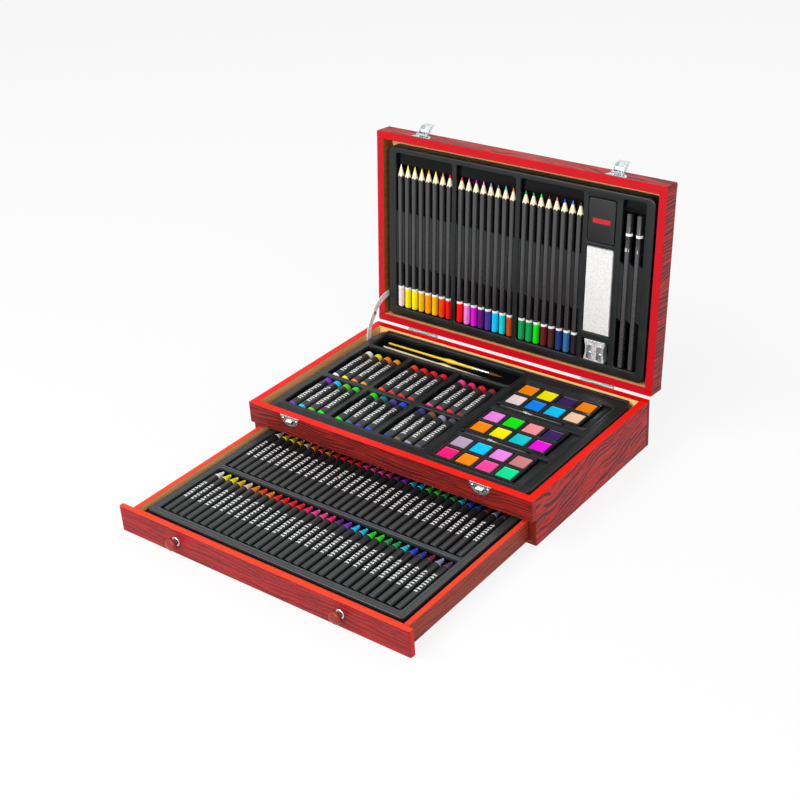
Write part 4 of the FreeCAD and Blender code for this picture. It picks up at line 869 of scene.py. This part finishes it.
pencilPaint = paintedMaterial("pencilPaint", 0.2, 0.25, 0.7)
capPaint = paintedMaterial("capPaint", 0.4, 0.12, 0.3)
leadColour = paintedMaterial("leadColour", 0.5, 0.0, peel=2.5, depth=0.04)
pencilWood = grainedMaterial(
    "pencilWood", pencil["wood"], 2.4, (0.38, 0.68), (0.5, 0.7), 0.05, 0.6, turn=math.pi / 2
)
corner, shoulder, leadStart, tip = (pencil[key] for key in ("corner", "shoulder", "leadStart", "tip"))
foot, ringStart, capEnd = (pencil[key] for key in ("foot", "ringStart", "capEnd"))
black, ring, wood = pencil["body"], pencil["ring"], pencil["wood"][0]
slope = corner / (tip - shoulder)
leadRadius = (tip - leadStart) * slope
barrels, caps, leads = startMesh(), startMesh(), startMesh()
for places, capNames, leadNames in zip(pencilPlaces, pencil["caps"], pencil["leads"]):
    for x, capName, leadName in zip(places, capNames, leadNames):
        start, dipped, core = (x, 0, pencil["height"]), colours[capName], colours[leadName]
        made = addTurned(barrels, start, rear, stretch(
            black, (capEnd, flats(corner - 0.05)), (shoulder - 1.5, flats(corner))
        ) + stretch(
            wood, (shoulder, scallop(corner, slope)), ((shoulder + leadStart) / 2, (corner + leadRadius) / 2),
            (leadStart, leadRadius), slot=1
        ), shape=hexAngles)
        paintFlatLight(barrels, made, black)
        addTurned(caps, start, rear, stretch(
            dipped, (foot, 1.8), (foot + 0.35, flats(2.9, 0.3)), (foot + 1.1, flats(3.65, 0.6)),
            (foot + 2.4, flats(corner + 0.02, 0.9))
        ) + stretch(
            ring, (ringStart, flats(corner + 0.04, 0.95)), (ringStart + 0.3, flats(corner + 0.12, 0.95)),
            (capEnd - 0.3, flats(corner + 0.12, 0.95)), (capEnd, flats(corner))
        ), shape=hexAngles)
        addTurned(leads, start, rear, stretch(
            core, (leadStart, leadRadius), (tip - 0.9, 0.26), (tip - 0.35, 0.14)
        ), sides=16)
makePiece("pencilBarrels", barrels, [pencilPaint, pencilWood], "lid", "pencil_barrels", 40)
makePiece("pencilCaps", caps, [capPaint], "lid", "pencil_caps", 40)
makePiece("pencilLeads", leads, [leadColour], "lid", "pencil_leads", 40)

# Sketch pencils
sketch = {
    "start": 21.5, "end": 194.5, "ring": (170.6, 173.6), "mark": (153.6, 157.4), "markHeight": 3.3,
    "silver": paint(196, 198, 200),
}
bm, cores = startMesh(), startMesh()
for x in lidTray["sketchPlaces"]:
    start, foot, end = (x, 0, pencil["height"]), sketch["start"], sketch["end"]
    (markStart, markEnd), (ringStart, ringEnd) = sketch["mark"], sketch["ring"]
    made = addTurned(bm, start, rear, stretch(
        black, (foot, flats(3.3, 0.8)), (foot + 0.5, flats(corner)), (markStart, flats(corner)),
        (markEnd, flats(corner))
    ) + stretch(
        ring, (ringStart, flats(corner)), (ringStart + 0.2, flats(corner + 0.1)),
        (ringEnd - 0.2, flats(corner + 0.1))
    ) + stretch(
        black, (ringEnd, flats(corner)), (end - 0.5, flats(corner)), (end, flats(3.5, 0.9))
    ), shape=hexAngles)
    middles = [(face, face.calc_center_median()) for face in made]
    # The sketch pencils' flats take the same painted highlight and painted shade, with a stronger highlight.
    paintFlatLight(bm, [
        face for face, middle in middles if not ringStart - 0.1 < middle.y < ringEnd + 0.1
    ], black, bright=3.2)
    paintFaces(bm, [
        face for face, middle in middles if markStart < middle.y < markEnd
        and middle.z > pencil["height"] + sketch["markHeight"] and int(middle.x * 3.1) % 2 == 0
    ], sketch["silver"])
    addTurned(cores, start, rear, stretch(
        colours["charcoal"], (foot - 0.02, 1.1), (end + 0.02, 1.1), (end + 0.03, 0.9)
    ), sides=16)
sketchPaint = paintedMaterial("sketchPaint", 0.24, 0.35, 0.6)
makePiece("sketchPencils", bm, [sketchPaint], "lid", "sketch_pencils", 40)
makePiece("sketchCores", cores, [leadColour], "lid", "sketch_leads", 40)
print("pencils made")


# Oil pastels and wax crayons: a stick in a dark paper wrap with plain printed ticks

wraps = {"ink": paint(244, 246, 246), "shades": (1.0, 0.72, 1.16, 0.9, 1.1, 0.66, 0.98)}


def wrapShade(paper, seed):
    return toned(paper, wraps["shades"][seed % len(wraps["shades"])])


def wrapMaterial(name, start, end, pitch, reach):
    material, place, skin = startSkinned(name, 2.2)
    spot = attribute(material, "spot", "Vector")
    ink = useGroup(wrapMarks, Spot=spot, Start=start, End=end, Pitch=pitch, Reach=reach)["Ink"]
    tint = attribute(material, "tint")
    return finishMaterial(
        material, blend(ink, mottle(skin["Haze"], 0.3, 0.7, dimmed(tint, 0.74), tint), wraps["ink"]),
        uneven(skin["Haze"], 0.3, 0.42), ink * 0.4 + skin["Height"], 0.03, 0.6
    )


def waxMaterial(name, roughness):
    material, place, skin = startSkinned(name, 0.9)
    tint = attribute(material, "tint")
    return finishMaterial(
        material, mottle(skin["Height"], 0.4, 0.7, tint, blend(0.06, tint, (1, 1, 1, 1))),
        uneven(skin["Haze"], roughness * 0.8, roughness * 1.2), skin["Height"], 0.1, 0.6, sheen=0.2
    )


pastel = {
    "height": 46.5, "length": 66.0, "radius": 5.5, "core": 5.1, "wrap": (3.2, 58.6), "starts": (-87.0, -12.0),
    "paper": paint(40, 43, 43), "rows": (
        (("violet", "skyBlue", "yellowGreen", "brightGreen"), ("brightGreen", "teal", "indigo", "blue"),
         ("darkBlue", "brown", "lavender", "greyViolet")),
        (("white", "yellow", "orange", "amber"), ("orangeRed", "red", "red", "red"),
         ("pink", "hotPink", "red", "brownRed")),
    ),
}
core, radius, length, (low, high) = (pastel[key] for key in ("core", "radius", "length", "wrap"))
bm = startMesh()
seed = 0
for startY, pockets in zip(pastel["starts"], pastel["rows"]):
    for places, names in zip(pastelPlaces, pockets):
        for x, name in zip(places, names):
            seed += 1
            wax = colours[name]
            addTurned(bm, (x, startY, pastel["height"]), rear, stretch(
                wax, (0, core - 0.9), (0.25, core - 0.3), (0.8, core), (low - 0.1, core)
            ) + stretch(
                wrapShade(pastel["paper"], seed), (low, radius - 0.1), (low + 0.2, radius),
                (high - 0.2, radius), (high, radius - 0.1), slot=1
            ) + stretch(
                wax, (high + 0.1, core), (length - 1.0, core), (length - 0.3, core - 0.35),
                (length, core - 1.1)
            ), sides=28, seed=seed)
pastelWrap = wrapMaterial("pastelWrap", 12.0, 50.0, 3.8, 0.6)
pastelWax = waxMaterial("pastelWax", 0.42)
makePiece("pastelSticks", bm, [pastelWax, pastelWrap], "case", "pastel_sticks", 38)

crayon = {
    "height": 20.5, "length": 86.0, "radius": 4.0, "core": 3.7, "wrapEnd": 74.4, "starts": (-87.15, 8.15),
    "paper": paint(34, 37, 38), "names": (
        "white", "yellow", "yellow", "gold", "peach", "orange", "orangeRed", "orange", "red", "red",
        "red", "red", "hotPink", "pink", "pink", "hotPink", "purple", "violet", "skyBlue", "skyBlue",
        "brightGreen", "brightGreen", "green", "green", "turquoise", "blue", "darkBlue", "maroon",
        "lavender", "plum",
    ),
}
core, radius, length, end = (crayon[key] for key in ("core", "radius", "length", "wrapEnd"))
bm = startMesh()
for startY in crayon["starts"]:
    for x, name in zip(crayonPlaces, crayon["names"]):
        seed += 1
        addTurned(bm, (x, startY, crayon["height"]), rear, stretch(
            wrapShade(crayon["paper"], seed), (0.5, core - 0.7), (0, core - 0.2), (0, core + 0.1),
            (0.2, radius), (end - 0.2, radius), (end, radius - 0.1), slot=1
        ) + stretch(
            colours[name], (end + 0.1, core), (end + 1.4, core), (end + 1.9, core - 0.45), (end + 8.6, 2.0),
            (end + 9.0, 1.55), (length - 0.5, 1.35), (length, 0.8)
        ), sides=20, seed=seed)
crayonWrap = wrapMaterial("crayonWrap", 27.0, 60.0, 4.1, 0.7)
crayonWax = waxMaterial("crayonWax", 0.38)
makePiece("crayonSticks", bm, [crayonWax, crayonWrap], "drawer", "crayons", 38)
print("pastels and crayons made")


# Watercolour palettes and their cakes of paint

palette = {
    "x": (46.25, 145.25), "spans": ((-93.7, -41.7), (-33.0, 19.0), (34.2, 86.2)), "low": 47.0, "top": 52.0,
    "sunk": 51.5, "radius": 3.0, "scores": (143.75, 144.3), "plastic": paint(12, 12, 13),
    "cakeX": (59.3, 83.6, 107.9, 132.2), "cakeOffset": 12.25, "well": 20.4, "wellFloor": 47.8,
    "wellRadius": 1.2, "cake": 18.2, "cakeLow": 48.1, "cakeTop": 51.1, "cakeRadius": 0.9,
    "names": (
        (("hotPink", "orange", "pink", "springGreen"), ("mauve", "skyBlue", "orchid", "roseBrown")),
        (("orange", "yellow", "turquoise", "magenta"), ("orchid", "brightGreen", "salmon", "darkViolet")),
        (("palePink", "brightBlue", "skyBlue", "peach"), ("orange", "yellow", "darkViolet", "orange")),
    ),
}


def glossyPlastic(name, colour, roughness, coat):
    material, place, skin = startSkinned(name, 0.5, colour=colour, coat=coat, coatRoughness=0.08)
    return finishMaterial(
        material, mottle(skin["Haze"], 0.35, 0.7, colour, toned(colour, 1.6)),
        uneven(skin["Haze"], roughness * 0.7, roughness * 1.4), skin["Height"], 0.03, 0.5
    )


# The cake is pressed into its well: flat, with a soft edge. The top faces along its back edge get a painted
# highlight, a paler tint.
def addCake(cakes, x, y, colour):
    low, high = palette["cakeLow"], palette["cakeTop"]
    cakeX, cakeY = about(x, palette["cake"]), about(y, palette["cake"])
    faces = addSolid(cakes, profileRings(cakeX, cakeY, palette["cakeRadius"], (
        (0, low), (0, high - 0.6), (-0.25, high - 0.15), (-0.8, high), (-1.2, high - 0.08),
    ), steps=3, tighten=0.4))
    highlightTint = tuple(min(1.0, channel * 0.75 + 0.22) for channel in colour[:3]) + (1,)
    for face in faces:
        middle = face.calc_center_median()
        bright = middle.z > high - 0.4 and middle.y > cakeY[1] - 1.1
        paintFaces(cakes, [face], highlightTint if bright else colour)


bm, cakes = startMesh(), startMesh()
low, top, sunk, wellFloor = (palette[key] for key in ("low", "top", "sunk", "wellFloor"))
for ys, rows in zip(palette["spans"], palette["names"]):
    borders = addCup(bm, profileRings(palette["x"], ys, palette["radius"], (
        (-0.3, low), (0, low + 0.3), (0, top - 0.35), (-0.1, top - 0.1), (-0.35, top), (-0.75, top),
        (-0.95, top - 0.12), (-1.05, sunk),
    )), closed=0)
    for side, names in zip((-1, 1), rows):
        for x, name in zip(palette["cakeX"], names):
            y = sum(ys) / 2 + side * palette["cakeOffset"]
            wellX, wellY = about(x, palette["well"]), about(y, palette["well"])
            borders += addCup(bm, profileRings(wellX, wellY, palette["wellRadius"], (
                (0.85, sunk), (0.7, sunk + 0.3), (0.45, sunk + 0.38), (0.15, sunk + 0.2), (0, sunk - 0.3),
                (-0.25, wellFloor + 0.4), (-0.6, wellFloor),
            ), steps=4))
            addCake(cakes, x, y, colours[name])
    fillTop(bm, borders)
    for x in palette["scores"]:
        addSoftBlock(bm, about(x, 0.22), grown(ys, -6.0), (sunk - 0.2, top - 0.05), 0.1, 0.08, steps=2)
palettePlastic = glossyPlastic("palettePlastic", palette["plastic"], 0.24, 0.18)
makePiece("watercolourPalettes", bm, [palettePlastic], "case", "watercolour_palettes")


def cakeMaterial():
    material, place, skin = startSkinned("cakePaint", 1.6)
    grit = cloud(place, 4.0, 0.7, 2.4)
    tint = attribute(material, "tint")
    return finishMaterial(
        material, mottle(grit, 0.4, 0.72, tint, dimmed(tint, 0.93)), uneven(skin["Haze"], 0.5, 0.72),
        grit + skin["Height"], 0.08, 0.6, sheen=0.15
    )


makePiece("watercolourCakes", cakes, [cakeMaterial()], "case", "watercolour_cakes")
print("palettes made")


# Metal: bright plating with hairlines and dull smears

def metalMaterial(name, colour, roughness, scratch=4.0, contrast=0.5, metallic=1.0, along=(0, 0, 0)):
    material = startMaterial(name, colour, metallic)
    skin = useGroup(metalSkin, Place=moved(drawnPlace(material), rotation=along), Scratch=scratch)
    scratches = skin["Scratches"]
    return finishMaterial(
        material, blend(scratches * contrast, colour, toned(colour, 0.45)),
        scratches * 0.15 + uneven(skin["Smear"], roughness * 0.6, roughness * 1.5),
        scratches * -0.3 + skin["Height"], 0.05, 0.5
    )


metals = {
    "nickel": paint(214, 220, 222), "teal": paint(128, 178, 174), "stay": paint(252, 253, 253),
    "steel": paint(206, 212, 216), "ferrule": paint(168, 172, 176), "alloy": paint(236, 238, 240),
}
nickel = metalMaterial("nickelPlate", metals["nickel"], 0.26, 2.0, 0.6)
tealNickel = metalMaterial("hingeNickel", metals["teal"], 0.4, metallic=0.6)
# The stay's links are near-white and hardly metallic: the white is a painted reflection of their bright
# plating.
stayNickel = metalMaterial("stayNickel", metals["stay"], 0.5, metallic=0.03)
steel = metalMaterial("brightSteel", metals["steel"], 0.24, 6.0)
ferruleSteel = metalMaterial("ferruleSteel", metals["ferrule"], 0.42, 3.0)
alloy = metalMaterial("castAlloy", metals["alloy"], 0.3, 1.0, 1.5, 0.7, (0, math.pi / 2, 0))

# Brushes in the trough
brush = {
    "z": 46.5, "starts": ((-147.75, 89.0, 0.0), (-147.75, 79.0, -1.6)), "ferruleStart": 124, "hairStart": 143,
    "paints": (paint(255, 212, 44), paint(255, 238, 188)), "hairColour": paint(104, 56, 30),
    "hairPair": (paint(128, 72, 38), paint(62, 32, 18)), "strands": 28,
    "handle": (
        (0, 0.9), (0.5, 1.15), (70, 1.4), (80, 1.6), (84, 2.3), (89, 2.75), (94, 2.5), (99, 1.85), (110, 1.7),
        (124, 1.65),
    ),
    "ferrule": (
        (0, 1.8), (0.6, 1.9), (4.0, 1.85), (4.2, 1.65), (4.8, 1.65), (5.0, 1.82), (6.4, 1.8), (6.6, 1.6),
        (7.2, 1.6), (7.4, 1.78), (19, 1.5),
    ),
    "hair": ((0, 1.45), (3, 1.7), (8, 1.3), (13, 0.7), (17, 0.25), (18, 0.08)),
}


# Every second strand lies a little deeper.
def fluted(radius):
    return lambda angle: (radius * (1 - 0.12 * (round(angle * brush["strands"] / math.tau) % 2)), 0)


handles, ferrules, hairs = startMesh(), startMesh(), startMesh()
for (x, y, lean), colour in zip(brush["starts"], brush["paints"]):
    direction = Vector((math.cos(math.radians(lean)), math.sin(math.radians(lean)), 0))
    start = Vector((x, y, brush["z"]))
    addTurned(handles, start, direction, stretch(colour, *brush["handle"]), sides=20)
    ferruleStart = start + direction * brush["ferruleStart"]
    addTurned(ferrules, ferruleStart, direction, stretch(metals["steel"], *brush["ferrule"]))
    hairStart = start + direction * brush["hairStart"]
    strands = [(along, fluted(radius)) for along, radius in brush["hair"]]
    addTurned(hairs, hairStart, direction, stretch(brush["hairColour"], *strands), sides=brush["strands"])
handlePaint = paintedMaterial("handlePaint", 0.25, 0.5)
brushHair = grainedMaterial("brushHair", brush["hairPair"], 6.0, (0.35, 0.65), (0.6, 0.6), 0.15, 0.8)
makePiece("brushHandles", handles, [handlePaint], "case", "brush_handles")
makePiece("brushFerrules", ferrules, [steel], "case", "brush_ferrules")
makePiece("brushHair", hairs, [brushHair], "case", "brush_bristles")

# Travel brushes in the slots between the palettes
travel = {
    "x": 50.25, "rows": (-37.6, 29.3), "z": 50.45, "black": paint(16, 16, 18),
    "handle": ((0, 0.7), (0.5, 1.3), (2.0, 1.7), (27.0, 2.0), (29.4, 1.9), (29.6, 1.6), (30.4, 1.6)),
    "ferrule": ((29.8, 1.9), (30.0, 2.2), (34.8, 2.2), (35.2, 1.95), (36.2, 1.4), (40.4, 1.25), (41.4, 1.1)),
    "cover": ((41.0, 1.1), (41.3, 1.5), (72.0, 1.5), (76.5, 1.2), (78.0, 0.5)),
}
bm = startMesh()
for y in travel["rows"]:
    start = (travel["x"], y, travel["z"])
    addTurned(bm, start, right, stretch(travel["black"], *travel["handle"]), sides=20)
    addTurned(bm, start, right, stretch(metals["steel"], *travel["ferrule"], slot=1), sides=8)
    addTurned(bm, start, right, stretch(travel["black"], *travel["cover"]), sides=20)
blackGloss = glossyPlastic("blackGloss", travel["black"], 0.3, 0.12)
makePiece("travelBrushes", bm, [blackGloss, ferruleSteel], "case", "palette_brushes")
print("brushes made")


# Tools in the lid: eraser, sanding block and sharpener

tools = {
    "x": (94.75, 126.65), "eraserY": (156.8, 204.8), "sandingY": (53.9, 150.9), "z": (-12.2, -2.5),
    "rubber": paint(9, 10, 11), "band": paint(206, 8, 8), "bandX": (110.7, 10.5), "bandY": (180.5, 2.6),
    "sand": (paint(228, 228, 227), paint(200, 200, 198)), "crumbs": 22,
}


def eraserMaterial():
    material, place, skin = startSkinned("eraserRubber", 1.8)
    x, y, z = splitVector(place)
    rubber = mottle(skin["Haze"], 0.3, 0.7, tools["rubber"], toned(tools["rubber"], 1.5))
    worn = near(x, *tools["bandX"]) * near(y, *tools["bandY"]) * remap(skin["Height"], 0.34, 0.5)
    return finishMaterial(
        material, blend(worn, rubber, tools["band"]), uneven(skin["Haze"], 0.5, 0.7), skin["Height"],
        0.07, 0.6
    )


bm = startMesh()
addSoftBlock(bm, tools["x"], tools["eraserY"], tools["z"], 2.2, 0.9)
makePiece("eraserBlock", bm, [eraserMaterial()], "lid", "eraser")


# The sides of the sanding block crumble a little, as pressed grit does.
def crumbledRing(xs, ys, grow, z):
    width, depth = xs[1] - xs[0], ys[1] - ys[0]
    middle = Vector((sum(xs) / 2, sum(ys) / 2))
    ring = []
    for side in range(4):
        for step in range(tools["crumbs"]):
            share = step / tools["crumbs"]
            x, y = (
                (xs[0] + share * width, ys[0]), (xs[1], ys[0] + share * depth),
                (xs[1] - share * width, ys[1]), (xs[0], ys[1] - share * depth),
            )[side]
            shift = 0.42 * (noise.noise(Vector((x * 0.35, y * 0.35, 3.0))) - 0.6) + grow
            x += shift if x > middle.x else -shift
            y += shift if y > middle.y else -shift
            ring.append(Vector((x, y, z)))
    return ring


def sandMaterial():
    material = startMaterial("sandingGrit")
    place = drawnPlace(material)
    grit = cloud(place, 5.0, 0.75, 0.6)
    return finishMaterial(
        material, mottle(grit, 0.46, 0.66, *tools["sand"]), uneven(cloud(place, scale=0.08), 0.75, 0.95),
        grit, 1.0, 1.0
    )


low, high = tools["z"]
bm = startMesh()
addSolid(bm, [
    crumbledRing(tools["x"], tools["sandingY"], grow, z)
    for grow, z in ((0, low), (0, high - 0.9), (-0.25, high - 0.25), (-0.9, high))
])
makePiece("sandingBlock", bm, [sandMaterial()], "lid", "sanding_block")

for material, soften, segments, nodeNames in (
    (alloy, 0.35, 2, ("sharpener_body",)),
    (steel, 0.08, 2, ("sharpener_blades", "sharpener_screws")),
    (tealNickel, 0.12, 2, ("hinge_case_leaves", "hinge_lid_leaves")),
    (nickel, 0.16, 2, (
        "strike_plates", "latch_plates", "left_latch_lever", "right_latch_lever", "left_latch_claw",
        "right_latch_claw",
    )),
    (stayNickel, 0.12, 2, ("stay_lower_link", "stay_upper_link")),
    (steel, 0.08, 1, (
        "hinge_pins", "hinge_case_screws", "hinge_lid_screws", "strike_screws", "latch_screws", "latch_pins",
        "stay_case_screw", "stay_lid_screw", "stay_elbow_rivet", "knob_screws",
    )),
):
    for nodeName in nodeNames:
        finishNode(nodeName, material, soften, segments)
print("tools and metal finished")


# Knobs on the drawer

knob = {
    "places": (-105.08, 105.08), "front": -116.0, "collar": 1.4, "height": 17.0,
    "wood": (paint(152, 36, 17), paint(112, 26, 12)),
    "shape": (
        (0, 3.7), (0.8, 3.8), (1.8, 4.2), (2.9, 5.3), (4.0, 6.5), (5.0, 6.95), (6.0, 7.0), (7.0, 6.8),
        (7.9, 6.1), (8.5, 4.8), (8.85, 3.0), (9.0, 1.2),
    ),
    "ring": ((0, 4.95), (0.1, 5.0), (0.6, 5.0), (1.05, 4.7), (1.35, 4.1), (1.4, 3.8)),
}
bm, collars = startMesh(), startMesh()
for x in knob["places"]:
    start = Vector((x, knob["front"], knob["height"]))
    addTurned(collars, start, front, stretch(metals["nickel"], *knob["ring"]), sides=36)
    start.y -= knob["collar"]
    addTurned(bm, start, front, stretch(knob["wood"][0], *knob["shape"]), sides=36)
knobWood = grainedMaterial("knobWood", knob["wood"], 1.4, (0.35, 0.7), (0.26, 0.42), 0.05, 0.4, 0.35)
makePiece("drawerKnobs", bm, [knobWood], "drawer", "knobs", 30)
makePiece("knobCollars", collars, [nickel], "drawer", "knob_ferrules", 30)
print("knobs made")


# Camera, floor and light. Places and sizes here are in metres, the lens is in millimetres.

camera = {
    "place": (0.812465, -1.075219, 0.821259), "turn": 39.195, "tilt": 29.473, "roll": -3.814,
    "lens": 64.358, "sensor": 36.0, "clip": (0.05, 20.0),
}
turn, tilt, roll = (math.radians(camera[key]) for key in ("turn", "tilt", "roll"))
forward = Vector((-math.sin(turn) * math.cos(tilt), math.cos(turn) * math.cos(tilt), -math.sin(tilt)))
level = forward.cross(Vector(up)).normalized()
upright = level.cross(forward)
rightward = level * math.cos(roll) + upright * math.sin(roll)
upward = upright * math.cos(roll) - level * math.sin(roll)
lens = bpy.data.cameras.new("photoLens")
lens.lens = camera["lens"]
lens.sensor_width = camera["sensor"]
lens.clip_start, lens.clip_end = camera["clip"]
eye = addObject("photoCamera", lens)
rotation = Matrix((rightward, upward, -forward)).transposed()
eye.matrix_world = Matrix.Translation(camera["place"]) @ rotation.to_4x4()
bpy.context.scene.camera = eye

studio = {
    "floor": (0.86, 0.86, 0.86, 1), "floorSize": 6.0, "floorHeight": -0.0002, "floorGlow": 0.83, "sky": 0.4,
    "aim": (0, -0.05, 0.05),
    "lamps": (
        ("keyLamp", (-1.1, -1.5, 2.1), 1.2, 34.0), ("fillLamp", (1.9, -1.2, 1.3), 1.4, 14.0),
        ("frontLamp", (0.1, -2.5, 1.0), 1.3, 36.0), ("backLamp", (0.3, 1.4, 2.2), 1.4, 10.0),
    ),
}


# 1 for a ray of one of these kinds, 0 for any other
def rayIs(tree, *kinds):
    path = addNode("ShaderNodeLightPath", tree=tree).outputs
    share = Wire(path[kinds[0]])
    for kind in kinds[1:]:
        share = calc("MAXIMUM", share, Wire(path[kind]))
    return share


# The floor takes shadows and looks nearly white to the camera.
def floorMaterial():
    material = startMaterial("studioFloor", studio["floor"])
    tree = material.node_tree
    shader = tree.nodes["Principled BSDF"]
    feed(shader.inputs["Roughness"], 0.9)
    feed(shader.inputs["Specular IOR Level"], 0.0)
    glow = fromNode("ShaderNodeEmission", tree=tree)
    share = rayIs(tree, "Is Camera Ray", "Is Glossy Ray") * studio["floorGlow"]
    mix = fromNode("ShaderNodeMixShader", (share, Wire(shader.outputs[0]), glow))
    feed(tree.nodes["Material Output"].inputs["Surface"], mix)
    return material


bm = bmesh.new()
bmesh.ops.create_grid(bm, x_segments=24, y_segments=24, size=studio["floorSize"])
floor = addObject("studioFloor", meshFrom(bm, "studioFloor", [floorMaterial()]))
floor.location = (0, 0, studio["floorHeight"])
world = bpy.data.worlds.new("studioSky")
world.use_nodes = True
bpy.context.scene.world = world
sky = world.node_tree.nodes["Background"].inputs
seenSky = rayIs(world.node_tree, "Is Camera Ray", "Is Glossy Ray", "Is Transmission Ray")
feed(sky["Strength"], remap(seenSky, 0.0, 1.0, studio["sky"], 1.0))
feed(sky["Color"], (1, 1, 1, 1))
for name, place, size, power in studio["lamps"]:
    lamp = bpy.data.lights.new(name, "AREA")
    lamp.size = size
    lamp.energy = power
    holder = addObject(name, lamp)
    holder.location = place
    holder.rotation_euler = (Vector(studio["aim"]) - Vector(place)).to_track_quat("-Z", "Y").to_euler()
bpy.context.scene.view_settings.view_transform = "Standard"
print("studio lit")
